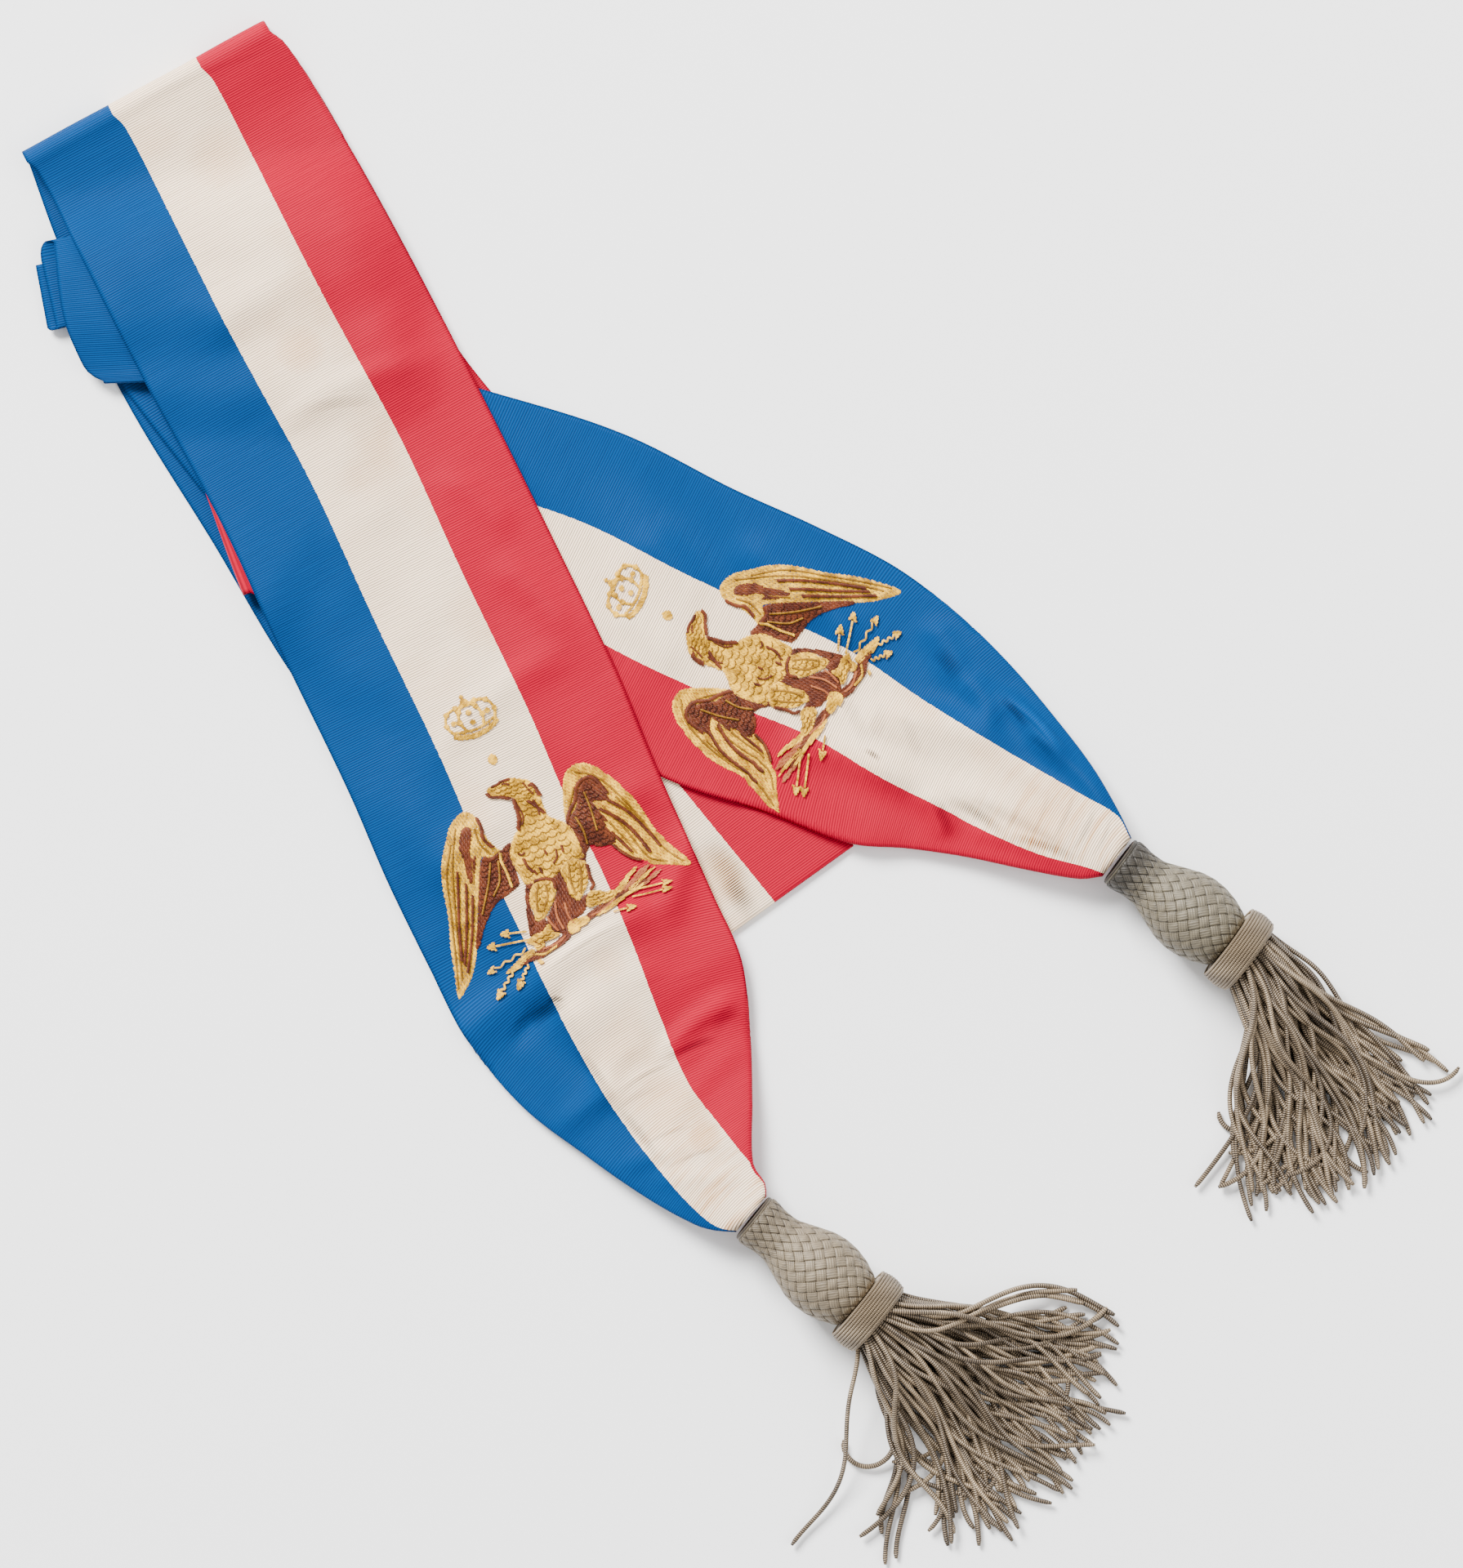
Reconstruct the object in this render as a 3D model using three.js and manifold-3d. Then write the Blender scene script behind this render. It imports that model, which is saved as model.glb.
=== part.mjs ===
// A ceremonial sash of striped ribbed silk, laid down folded, with a bullion tassel on each end.
// Units are millimetres, +Z is up, and the plan is centred on the origin with the underside at Z = 0.
import * as THREE from "three";
import { mergeVertices } from "three/addons/utils/BufferGeometryUtils.js";
import Module from "manifold-3d";

const wasm = await Module();
wasm.setup();

// Driving dimensions
const CLOTH_THICK = 1.0;
const LAYER_PITCH = 1.5; // from one layer of cloth to the next one lying on it
const COLUMNS = 14; // points across the sash
const FOLD_STEPS = 4; // steps round a fold
const EASE_MARGIN = 4; // how far past a layer's edge the cloth on it stays level
const EASE_RUN = 22; // and the length over which it then comes down
const BLUE_FLAP_RADIUS = LAYER_PITCH / 2; // the blue side is turned under first,
const RED_FLAP_RADIUS = LAYER_PITCH; // and the red side passes below it
const GAP = 0.3; // between pieces that touch on the real sash
const FLAP_MIDDLE = 0.5; // share of a turned-under flap at which it has a point,
const TOP_SHARES = [0.3, 0.75]; // shares of the half that is seen at which it has points,
const LEAST_SPACING = 0.05; // and the least distance between points where a flap begins

// Each run of the sash is a table of sections from its first fold to its next one. A section has the plan
// position of its blue edge and of its red edge as seen from above, the width turned under on both sides,
// the height that it is lifted by, and the rise of its middle over its sides.
const SECTION = ["blueX", "blueY", "redX", "redY", "tuck", "lift", "arch"];
const table = (columns, rows) => rows.map((r) => Object.fromEntries(columns.map((c, i) => [c, r[i] ?? 0])));

const RUNS = [
  {
    name: "front end, from its tassel up to the top fold",
    steps: 32,
    level: 8,
    rows: table(SECTION, [
      [1.5, -166.0, 11.9, -153.3, 13.0, 14.5, 2.6],
      [-14.2, -163.3, 7.7, -140.8, 17, 11.0, 2.4],
      [-32.4, -153.4, 7.4, -117.4, 19, 8.0, 1.4],
      [-54.8, -138.0, 6.8, -94.9, 14, 4.8, 0.5],
      [-79.2, -119.2, 5.9, -79.8, 8, 3.0, 0],
      [-101.1, -92.7, 3.7, -64.7, 0.5, 1.2, 0],
      [-114.3, -67.2, -9.2, -35.1, 0, 0.2, 0],
      [-129.4, -36.1, -25.9, 1.5, 0, 0.2, 0],
      [-144.2, -1.8, -42.8, 43.1, 0, 0, 0],
      [-167.6, 46.8, -67.8, 95.2, 0, 0, 0],
      [-190.1, 96.1, -94.3, 148.5, 0, 0, 0],
      [-218.8, 149.4, -122.9, 203.7, 0, 0, 0],
      [-247.1, 204.9, -152.8, 257.0, 0, 1.5, 0],
      [-261.0, 231.8, -168.4, 280.6, 0, 6.0, 0],
      [-265.0, 235.5, -174.0, 284.8, 0, 7.5, 0],
    ]),
  },
  {
    name: "lowest layer, from the top fold down to the lower fold",
    steps: 11,
    level: 0,
    rows: table(SECTION, [
      [-265.0, 235.5, -174.0, 284.8],
      [-254.5, 206.4, -156.5, 256.4],
      [-231.7, 152.2, -135.9, 206.4],
      [-196.0, 93.1, -102.6, 151.3],
      [-162.7, 38.5, -71.5, 100.1],
      [-107.2, -29.0, -23.1, 41.9],
      [-45.0, -85.4, 45.3, -20.6],
    ]),
  },
  {
    name: "second layer, back up from the lower fold to the folded bundle",
    steps: 11,
    level: 1,
    rows: table(SECTION, [
      [-45.0, -85.4, 45.3, -20.6],
      [-102.0, -15.1, -16.6, 54.2],
      [-152.8, 53.0, -67.5, 121.7],
      [-185.2, 93.4, -98.9, 159.9],
      [-229.6, 151.3, -131.3, 205.2],
      [-261.9, 195.7, -155.0, 218.2],
    ]),
  },
  {
    name: "bundle, first short layer",
    steps: 2,
    level: 2,
    rows: table(SECTION, [
      [-262.2, 196.3, -155.0, 218.8],
      [-258.0, 173.8, -150.7, 196.0],
    ]),
  },
  {
    name: "bundle, second short layer",
    steps: 2,
    level: 3,
    rows: table(SECTION, [
      [-254.6, 174.3, -147.6, 196.5],
      [-260.1, 199.0, -152.5, 221.5],
    ]),
  },
  {
    name: "bundle, long layer wrapped over it",
    steps: 6,
    level: 7,
    rows: table(SECTION, [
      [-255.1, 205.5, -146.7, 224.3],
      [-251.4, 177.5, -141.7, 183.6],
      [-244.8, 160.4, -135.0, 163.4],
      [-241.4, 155.9, -133.2, 158.6],
      [-236.6, 153.5, -132.2, 156.2],
    ]),
  },
  {
    name: "bundle, layer inside the wrap",
    steps: 5,
    level: 6,
    rows: table(SECTION, [
      [-235.6, 154.1, -131.3, 157.1],
      [-240.6, 158.8, -132.0, 162.4],
      [-245.3, 191.3, -136.8, 208.3],
    ]),
  },
  {
    name: "turn of the sash from the bundle towards its other end",
    steps: 6,
    level: 4,
    rows: table(SECTION, [
      [-244.6, 191.0, -136.8, 207.1],
      [-236.6, 188.0, -146.7, 143.6],
      [-225.2, 182.4, -181.2, 73.9],
    ]),
  },
  {
    name: "back end, from its fold out to its tassel",
    steps: 30,
    level: 5,
    rows: table(SECTION, [
      [-225.2, 182.4, -181.2, 73.9, 0, 0, 0],
      [-159.0, 167.6, -152.8, 59.8, 0, 0, 0],
      [-91.2, 149.7, -132.5, 47.8, 0, 0, 0],
      [-41.9, 134.3, -90.3, 34.8, 0, 0, 0],
      [1.2, 112.8, -48.7, 14.8, 0, 0, 0],
      [32.0, 98.9, -17.9, 0.9, 0, 0, 0],
      [62.9, 82.9, 13.6, -8.9, 1, 1.0, 0],
      [87.5, 63.5, 44.4, -20.3, 5, 3.0, 0],
      [106.0, 45.0, 65.9, -22.2, 10, 4.5, 0.4],
      [121.4, 26.5, 87.5, -25.3, 15, 7.0, 1.0],
      [135.3, 8.0, 112.2, -30.5, 19, 10.0, 2.0],
      [145.4, -9.6, 130.6, -33.6, 16, 13.0, 2.8],
      [149.6, -18.6, 138.9, -32.6, 13, 14.3, 2.6],
    ]),
  },
];

// Soft rises in the stack: where, how far they reach, how high, and the lowest layer that takes part
const SWELLS = table(["x", "y", "reach", "rise", "level"], [
  [-181, 76, 60, 3.0, 5],
  [-120, -10, 70, 1.6, 1],
  [-40, 60, 60, 1.4, 5],
  [-190, 140, 60, 1.2, 1],
  [-60, -60, 50, 1.5, 8],
  [20, 40, 50, 1.0, 5],
]);

// Main creases of the cloth, each a ridge from one plan place to another: its half width, its rise, and the
// layer that has it
const CREASES = table(["fromX", "fromY", "toX", "toY", "halfWidth", "rise", "level"], [
  [-76, -74, -32, -44.5, 13, 2.6, 8],
  [-103, -95, -76, -74, 13, 1.8, 8],
  [-62, -92, -30, -66, 16, 1.5, 8],
  [-28, -98, -6, -70, 12, 2.0, 8],
  [-52, -118, -36, -96, 12, 1.5, 8],
  [-170, 137, -116, 162, 14, 1.2, 8],
  [-110, 14, -66, 51, 14, 1.2, 8],
  [48, 26, 104, 16, 14, 2.6, 5],
  [24, 18, 66, 2, 14, 2.2, 5],
  [74, 8, 118, -10, 12, 1.8, 5],
  [4, 92, 28, 64, 16, 1.4, 5],
  [20, 78, 46, 56, 14, 1.4, 5],
]);

// Each tassel: the plan position of its neck, where the cloth goes in, the heading of its axis in degrees,
// and how far its fringe swings to either side of the fringe's own heading.
const TASSELS = [
  { side: "left", neckX: 8.1, neckY: -160.9, heading: -39.2, fringeHeading: -42, spread: 56 },
  { side: "right", neckX: 145.6, neckY: -27.3, heading: -36.6, fringeHeading: -65, spread: 34 },
];
const AXIS_HEIGHT = 16.6;
const HEAD_SIDES = 14;
// Head of the tassel: radius at each distance along its axis from the neck
const HEAD_PROFILE = table(["along", "radius"], [
  [0, 8.5],
  [1.5, 10.3],
  [7, 9.6],
  [13, 9.7],
  [20, 12.2],
  [28, 15.0],
  [35, 15.6],
  [42, 14.4],
  [48, 12.0],
  [50, 10.5],
]);
const COLLAR = { start: 50.3, end: 60.0, radius: 16.5, edge: 2.4 };
// Backing of the fringe: radius at each distance along the axis from the collar
const BACKING_PROFILE = table(["along", "radius"], [
  [0, 13],
  [8, 13.5],
  [14, 7.5],
]);
const ROOT = { along: 3.8, radius: 11.5 }; // where the locks leave the backing
const LEAVING_SHARE = 0.55; // share of its swing that a lock has at its root
const SWUNG_AT = 0.625; // share of its length by which a lock has swung out,
const FALLEN_AT = 0.667; // by which it has come down from the collar to its layer,
const LANDING = { from: 0.45, to: 0.95 }; // and over which it then sinks to the floor
const LOCK_LENGTH = 92;
const OUTER_LOCK_SHORTER = 0.14; // share by which the outermost locks are shorter than the middle one
const LOCK_SIDES = 6;
const LOCK_STEPS = 5;
// Layers of locks in a fringe: how many lie side by side, the share of the spread that they take, the
// height of their middle at the collar and at two thirds of their length, and their share of the length
const LOCK_LAYERS = table(["count", "share", "rootHeight", "midHeight", "length"], [
  [9, 1.0, 8.5, 4.8, 1.0],
  [5, 0.72, 17.5, 9.6, 0.93],
]);
const LOCK_RADII = table(["at", "radius"], [
  [0, 3.6],
  [0.2, 4.8],
  [0.6, 4.8],
  [0.88, 3.9],
  [1, 2.0],
]);

const smooth = (x) => THREE.MathUtils.smoothstep(x, 0, 1);

// Values of a table at a place along it, by a smooth curve through its rows
function rowAt(rows, places, at) {
  let i = 0;
  while (i < rows.length - 2 && places[i + 1] < at) i += 1;
  const t = (at - places[i]) / (places[i + 1] - places[i]);
  const span = places[i + 1] - places[i];
  const slope = (k, c) => {
    const a = Math.max(k - 1, 0);
    const b = Math.min(k + 1, rows.length - 1);
    return (rows[b][c] - rows[a][c]) / (places[b] - places[a]);
  };
  const value = (c) =>
    (2 * t ** 3 - 3 * t ** 2 + 1) * rows[i][c] +
    (t ** 3 - 2 * t ** 2 + t) * span * slope(i, c) +
    (3 * t ** 2 - 2 * t ** 3) * rows[i + 1][c] +
    (t ** 3 - t ** 2) * span * slope(i + 1, c);
  return Object.fromEntries(Object.keys(rows[0]).map((c) => [c, value(c)]));
}

const blueOf = (r) => new THREE.Vector2(r.blueX, r.blueY);
const redOf = (r) => new THREE.Vector2(r.redX, r.redY);
const middleOf = (r) => blueOf(r).add(redOf(r)).multiplyScalar(0.5);

// Distance of each row from the first one, along the middle of the sash
function placesOf(rows) {
  const places = [0];
  for (let i = 1; i < rows.length; i += 1)
    places.push(places[i - 1] + Math.max(middleOf(rows[i]).distanceTo(middleOf(rows[i - 1])), 1));
  return places;
}

function sectionsOf(run) {
  const places = placesOf(run.rows);
  const length = places[places.length - 1];
  return Array.from({ length: run.steps + 1 }, (_, i) => rowAt(run.rows, places, (length * i) / run.steps));
}

for (const run of RUNS) run.sections = sectionsOf(run);
const outlineOf = (run) => [...run.sections.map(blueOf), ...run.sections.map(redOf).reverse()];
for (const run of RUNS) run.outline = outlineOf(run);

function distanceToLine(point, a, b) {
  const edge = b.clone().sub(a);
  const along = THREE.MathUtils.clamp(point.clone().sub(a).dot(edge) / Math.max(edge.lengthSq(), 1e-9), 0, 1);
  return a.clone().addScaledVector(edge, along).distanceTo(point);
}

// How far a plan point is outside a run's outline, or 0 inside it
function distanceOutside(point, outline) {
  let inside = false;
  let nearest = Infinity;
  outline.forEach((a, i) => {
    const b = outline[(i + 1) % outline.length];
    nearest = Math.min(nearest, distanceToLine(point, a, b));
    if (a.y > point.y !== b.y > point.y && point.x < a.x + ((b.x - a.x) * (point.y - a.y)) / (b.y - a.y))
      inside = !inside;
  });
  return inside ? 0 : nearest;
}

function creaseHeight(run, point) {
  return CREASES.filter((crease) => crease.level === run.level).reduce((height, crease) => {
    const from = new THREE.Vector2(crease.fromX, crease.fromY);
    const away = distanceToLine(point, from, new THREE.Vector2(crease.toX, crease.toY));
    return height + crease.rise * (1 - smooth(away / crease.halfWidth));
  }, 0);
}

// Height of a run's middle surface: it settles on every layer below it and eases down past their edges
function settledHeight(run, point) {
  const settled = RUNS.filter((other) => other.level < run.level).reduce((height, other) => {
    const past = distanceOutside(point, other.outline) - EASE_MARGIN;
    return height + LAYER_PITCH * (1 - smooth(past / EASE_RUN));
  }, CLOTH_THICK / 2);
  return SWELLS.filter((swell) => swell.level <= run.level).reduce((height, swell) => {
    const away = Math.hypot(point.x - swell.x, point.y - swell.y) / swell.reach;
    return height + swell.rise * (1 - smooth(away));
  }, settled);
}

// Place across and depth of a point of a section, from its distance along the cloth from one edge.
// The cloth goes in under the section for the width turned under, round the bend, and back on top.
function turnedUnder(fromEdge, tuck, radius) {
  const bend = (Math.PI / 2) * radius;
  const angle = Math.min((fromEdge - tuck + bend) / radius, Math.PI / 2);
  const flatStart = radius * Math.max(0, 1 - tuck / bend);
  if (fromEdge >= tuck) return { across: fromEdge - tuck + radius - flatStart, depth: 0 };
  if (angle >= -Math.PI / 2)
    return { across: radius * (1 - Math.cos(angle)) - flatStart, depth: radius * (1 - Math.sin(angle)) };
  return { across: radius + (tuck - 2 * bend - fromEdge) - flatStart, depth: 2 * radius };
}

// Distances along the cloth of a section's points, closer together at its bends
function spacingFor(tuck, radius, half) {
  const bend = Math.PI * radius;
  const shareFolded = smooth(tuck / (2 * bend));
  const folded = [0, FLAP_MIDDLE * (tuck - bend), tuck - bend, tuck - bend / 2, tuck];
  folded.push(...TOP_SHARES.map((share) => tuck + share * (half - tuck)));
  return folded.map((f, i) => {
    const even = (half * i) / (COLUMNS / 2 - 0.5);
    return THREE.MathUtils.lerp(even, Math.max(f, LEAST_SPACING * i), shareFolded);
  });
}

// Points of one section across the sash, from the blue edge to the red edge
function pointsOf(run, row) {
  const blue = blueOf(row);
  const across = redOf(row).sub(blue);
  const width = across.length();
  across.normalize();
  const half = row.tuck + width / 2;
  const side = (radius, fromRed) =>
    spacingFor(row.tuck, radius, half).map((fromEdge) => {
      const place = turnedUnder(fromEdge, row.tuck, radius);
      const x = THREE.MathUtils.clamp(fromRed ? width - place.across : place.across, 0, width);
      const plan = blue.clone().addScaledVector(across, x);
      const arch = row.arch * (1 - ((2 * x) / width - 1) ** 2);
      const relief = Math.max(row.lift, 0) + arch + creaseHeight(run, plan);
      const height = settledHeight(run, plan) + relief - place.depth;
      return new THREE.Vector3(plan.x, plan.y, height);
    });
  return [...side(BLUE_FLAP_RADIUS, false), ...side(RED_FLAP_RADIUS, true).reverse()];
}

// Sections round a fold: from the last one of a run, level out to the further of the two fold lines, round
// the bend there, and back to the first section of the next run
function foldBetween(before, last, next) {
  const crease = last[COLUMNS - 1].clone().sub(last[0]).setZ(0).normalize();
  const travel = last[COLUMNS / 2].clone().sub(before[COLUMNS / 2]).setZ(0);
  const outward = travel.addScaledVector(crease, -travel.dot(crease)).normalize();
  const sections = [];
  for (let k = 1; k < FOLD_STEPS; k += 1) {
    const angle = (Math.PI * k) / FOLD_STEPS;
    const share = (1 - Math.cos(angle)) / 2;
    const soon = Math.sin(Math.min(angle, Math.PI / 2));
    const late = 1 - Math.sin(Math.max(angle, Math.PI / 2));
    sections.push(
      last.map((p, i) => {
        const radius = Math.abs(next[i].z - p.z) / 2;
        const shift = next[i].clone().sub(p).dot(outward);
        const out = shift * ((shift > 0 ? soon : late) - share) + radius * Math.sin(angle);
        return p.clone().lerp(next[i], share).addScaledVector(outward, out);
      }),
    );
  }
  return sections;
}

// The middle surface of the whole sash, as sections from one tassel to the other
function middleSurface() {
  const sections = [];
  for (const run of RUNS) {
    const own = run.sections.map((row) => pointsOf(run, row));
    if (sections.length) {
      const last = sections[sections.length - 1];
      sections.push(...foldBetween(sections[sections.length - 2], last, own[0]));
    }
    sections.push(...own);
  }
  return sections;
}

// A closed sheet of cloth of even thickness round a middle surface
function clothSheet(sections) {
  const last = sections.length - 1;
  const normal = (i, j) => {
    const along = sections[Math.min(i + 1, last)][j].clone().sub(sections[Math.max(i - 1, 0)][j]);
    const over = sections[i][Math.min(j + 1, COLUMNS - 1)].clone().sub(sections[i][Math.max(j - 1, 0)]);
    return along.cross(over).normalize();
  };
  const positions = [];
  for (const side of [1, -1])
    sections.forEach((row, i) =>
      row.forEach((p, j) => {
        const q = p.clone().addScaledVector(normal(i, j), (side * CLOTH_THICK) / 2);
        positions.push(q.x, q.y, Math.max(q.z, 0));
      }),
    );
  const index = [];
  const quad = (a, b, c, d) => index.push(a, b, c, a, c, d);
  const top = (i, j) => i * COLUMNS + j;
  const bottom = (i, j) => (sections.length + i) * COLUMNS + j;
  for (let i = 0; i < last; i += 1) {
    for (let j = 0; j < COLUMNS - 1; j += 1) {
      quad(top(i, j), top(i + 1, j), top(i + 1, j + 1), top(i, j + 1));
      quad(bottom(i, j), bottom(i, j + 1), bottom(i + 1, j + 1), bottom(i + 1, j));
    }
    quad(top(i, 0), bottom(i, 0), bottom(i + 1, 0), top(i + 1, 0));
    quad(top(i, COLUMNS - 1), top(i + 1, COLUMNS - 1), bottom(i + 1, COLUMNS - 1), bottom(i, COLUMNS - 1));
  }
  for (let j = 0; j < COLUMNS - 1; j += 1) {
    quad(top(0, j), top(0, j + 1), bottom(0, j + 1), bottom(0, j));
    quad(top(last, j), bottom(last, j), bottom(last, j + 1), top(last, j + 1));
  }
  const geometry = new THREE.BufferGeometry();
  geometry.setAttribute("position", new THREE.Float32BufferAttribute(positions, 3));
  return geometry.setIndex(index);
}

function solidOf(geometry) {
  const bare = geometry.clone();
  bare.deleteAttribute("normal");
  bare.deleteAttribute("uv");
  const merged = mergeVertices(bare, 1e-4);
  return new wasm.Manifold(
    new wasm.Mesh({
      numProp: 3,
      vertProperties: new Float32Array(merged.attributes.position.array),
      triVerts: new Uint32Array(merged.index.array),
    }),
  );
}

function geometryOf(solid) {
  const mesh = solid.getMesh();
  const geometry = new THREE.BufferGeometry();
  geometry.setAttribute("position", new THREE.BufferAttribute(new Float32Array(mesh.vertProperties), 3));
  return geometry.setIndex(new THREE.BufferAttribute(new Uint32Array(mesh.triVerts), 1));
}

function material(color, roughness, metalness) {
  return new THREE.MeshStandardMaterial({ color, roughness, metalness });
}

const SILK = material(0x0b6fb8, 0.55, 0);
const WOVEN_THREAD = material(0x8f8672, 0.5, 0.35);
const BULLION = material(0x8a7a66, 0.45, 0.35);

function named(name, geometry, finish) {
  const mesh = new THREE.Mesh(geometry, finish);
  mesh.name = name;
  return mesh;
}

// A closed turned body whose axis runs along +X from the neck
function turned(profile) {
  const points = profile.map((p) => new THREE.Vector2(p.radius, p.along));
  const closed = [new THREE.Vector2(0, profile[0].along), ...points];
  closed.push(new THREE.Vector2(0, profile[profile.length - 1].along));
  return new THREE.LatheGeometry(closed, HEAD_SIDES).rotateZ(-Math.PI / 2);
}

function collarProfile() {
  const { start, end, radius, edge } = COLLAR;
  return table(["along", "radius"], [
    [start, radius - edge - 1.5],
    [start + 0.8, radius - 1.2],
    [start + edge, radius],
    [end - edge, radius],
    [end, radius - edge],
  ]);
}

// One lock of a fringe: a tapering closed tube that leaves the collar, sinks to the floor and bends sideways
function lock(root, rootAngle, tipAngle, length, layer) {
  const rings = [];
  const centre = root.clone();
  const places = LOCK_RADII.map((r) => r.at);
  for (let k = 0; k <= LOCK_STEPS; k += 1) {
    const at = k / LOCK_STEPS;
    const angle = THREE.MathUtils.lerp(rootAngle, tipAngle, smooth(at / SWUNG_AT));
    if (k) centre.add(new THREE.Vector3(Math.cos(angle), Math.sin(angle), 0).multiplyScalar(length / LOCK_STEPS));
    const radius = rowAt(LOCK_RADII, places, at).radius;
    const fall = THREE.MathUtils.lerp(layer.rootHeight, layer.midHeight, smooth(at / FALLEN_AT));
    const landed = smooth((at - LANDING.from) / (LANDING.to - LANDING.from));
    const height = Math.max(THREE.MathUtils.lerp(fall, radius, landed), radius);
    const side = new THREE.Vector3(-Math.sin(angle), Math.cos(angle), 0);
    rings.push(
      Array.from({ length: LOCK_SIDES }, (_, s) => {
        const turn = (2 * Math.PI * (s + 0.5)) / LOCK_SIDES;
        const point = centre.clone().addScaledVector(side, radius * Math.cos(turn));
        return point.setZ(Math.max(height + radius * Math.sin(turn), 0));
      }),
    );
  }
  return closedTube(rings);
}

function closedTube(rings) {
  const sides = rings[0].length;
  const positions = rings.flat().flatMap((p) => [p.x, p.y, p.z]);
  const ends = [0, rings.length - 1].map((k) => {
    const middle = rings[k].reduce((sum, p) => sum.add(p), new THREE.Vector3()).divideScalar(sides);
    positions.push(middle.x, middle.y, middle.z);
    return positions.length / 3 - 1;
  });
  const index = [];
  for (let s = 0; s < sides; s += 1) {
    const t = (s + 1) % sides;
    for (let k = 0; k < rings.length - 1; k += 1) {
      const [a, b, c, d] = [k * sides + s, k * sides + t, (k + 1) * sides + t, (k + 1) * sides + s];
      index.push(a, b, c, a, c, d);
    }
    index.push(ends[0], t, s);
    index.push(ends[1], (rings.length - 1) * sides + s, (rings.length - 1) * sides + t);
  }
  const geometry = new THREE.BufferGeometry();
  geometry.setAttribute("position", new THREE.Float32BufferAttribute(positions, 3));
  return geometry.setIndex(index);
}

// The fringe of one tassel: its backing, a short drum inside the collar's mouth, and the locks fused to it
function fringe(tassel) {
  const heading = THREE.MathUtils.degToRad(tassel.heading);
  const axis = new THREE.Vector3(Math.cos(heading), Math.sin(heading), 0);
  const side = new THREE.Vector3(-axis.y, axis.x, 0);
  const neck = new THREE.Vector3(tassel.neckX, tassel.neckY, 0);
  const start = COLLAR.end + GAP;
  const backing = turned(BACKING_PROFILE)
    .translate(start, 0, 0)
    .rotateZ(heading)
    .translate(neck.x, neck.y, AXIS_HEIGHT);
  let whole = solidOf(backing);
  for (const layer of LOCK_LAYERS)
    for (let k = 0; k < layer.count; k += 1) {
      const across = (2 * k) / (layer.count - 1) - 1;
      const swing = THREE.MathUtils.degToRad(tassel.fringeHeading + across * tassel.spread * layer.share);
      const leaving = THREE.MathUtils.lerp(heading, swing, LEAVING_SHARE);
      const root = neck.clone().addScaledVector(axis, start + ROOT.along);
      root.addScaledVector(side, across * layer.share * ROOT.radius);
      const length = LOCK_LENGTH * layer.length * (1 - OUTER_LOCK_SHORTER * across ** 2);
      whole = whole.add(solidOf(lock(root, leaving, swing, length, layer)));
    }
  return geometryOf(whole);
}

function tasselGroup(tassel) {
  const group = new THREE.Group();
  group.position.set(tassel.neckX, tassel.neckY, AXIS_HEIGHT);
  group.rotation.z = THREE.MathUtils.degToRad(tassel.heading);
  group.add(named(tassel.side + "_tassel_head", turned(HEAD_PROFILE), WOVEN_THREAD));
  group.add(named(tassel.side + "_tassel_collar", turned(collarProfile()), BULLION));
  return group;
}

const sash = new THREE.Group();
sash.add(named("sash_ribbon", clothSheet(middleSurface()), SILK));
for (const tassel of TASSELS) {
  sash.add(tasselGroup(tassel));
  sash.add(named(tassel.side + "_tassel_fringe", fringe(tassel), BULLION));
}

export default sash;
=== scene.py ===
# A ceremonial sash of ribbed silk in three stripes, laid down folded, with a bullion tassel on each end.
import bpy
import math
import random
import numpy as np
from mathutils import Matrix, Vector


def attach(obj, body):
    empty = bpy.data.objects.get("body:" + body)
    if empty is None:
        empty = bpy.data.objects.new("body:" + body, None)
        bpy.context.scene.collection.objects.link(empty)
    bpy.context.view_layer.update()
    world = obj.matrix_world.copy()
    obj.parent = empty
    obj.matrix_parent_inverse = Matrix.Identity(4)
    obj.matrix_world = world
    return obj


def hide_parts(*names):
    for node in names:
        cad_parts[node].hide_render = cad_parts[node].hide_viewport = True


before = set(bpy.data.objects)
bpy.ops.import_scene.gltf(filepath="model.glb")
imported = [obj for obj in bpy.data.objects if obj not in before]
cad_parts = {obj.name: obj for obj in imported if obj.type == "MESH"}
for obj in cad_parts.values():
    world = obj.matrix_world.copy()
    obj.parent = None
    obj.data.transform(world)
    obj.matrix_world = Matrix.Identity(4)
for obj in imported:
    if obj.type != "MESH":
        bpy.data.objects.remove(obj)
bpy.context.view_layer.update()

mm = 0.001
tau = 2 * math.pi


# A Wire is one output in a material's graph, and sums on wires add Math nodes to it
class Wire:
    def __init__(self, graph, socket):
        self.graph = graph
        self.socket = socket

    def __add__(self, other):
        return self.graph.sum("ADD", self, other)

    def __radd__(self, other):
        return self.graph.sum("ADD", other, self)

    def __sub__(self, other):
        return self.graph.sum("SUBTRACT", self, other)

    def __rsub__(self, other):
        return self.graph.sum("SUBTRACT", other, self)

    def __mul__(self, other):
        return self.graph.sum("MULTIPLY", self, other)

    def __truediv__(self, other):
        return self.graph.sum("DIVIDE", self, other)

    def __gt__(self, other):
        return self.graph.sum("GREATER_THAN", self, other)

    def __lt__(self, other):
        return self.graph.sum("LESS_THAN", self, other)

    def wave(self):
        return self.graph.sum("SINE", self, 0) * 0.5 + 0.5

    def power(self, other):
        return self.graph.sum("POWER", self, other)


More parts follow.
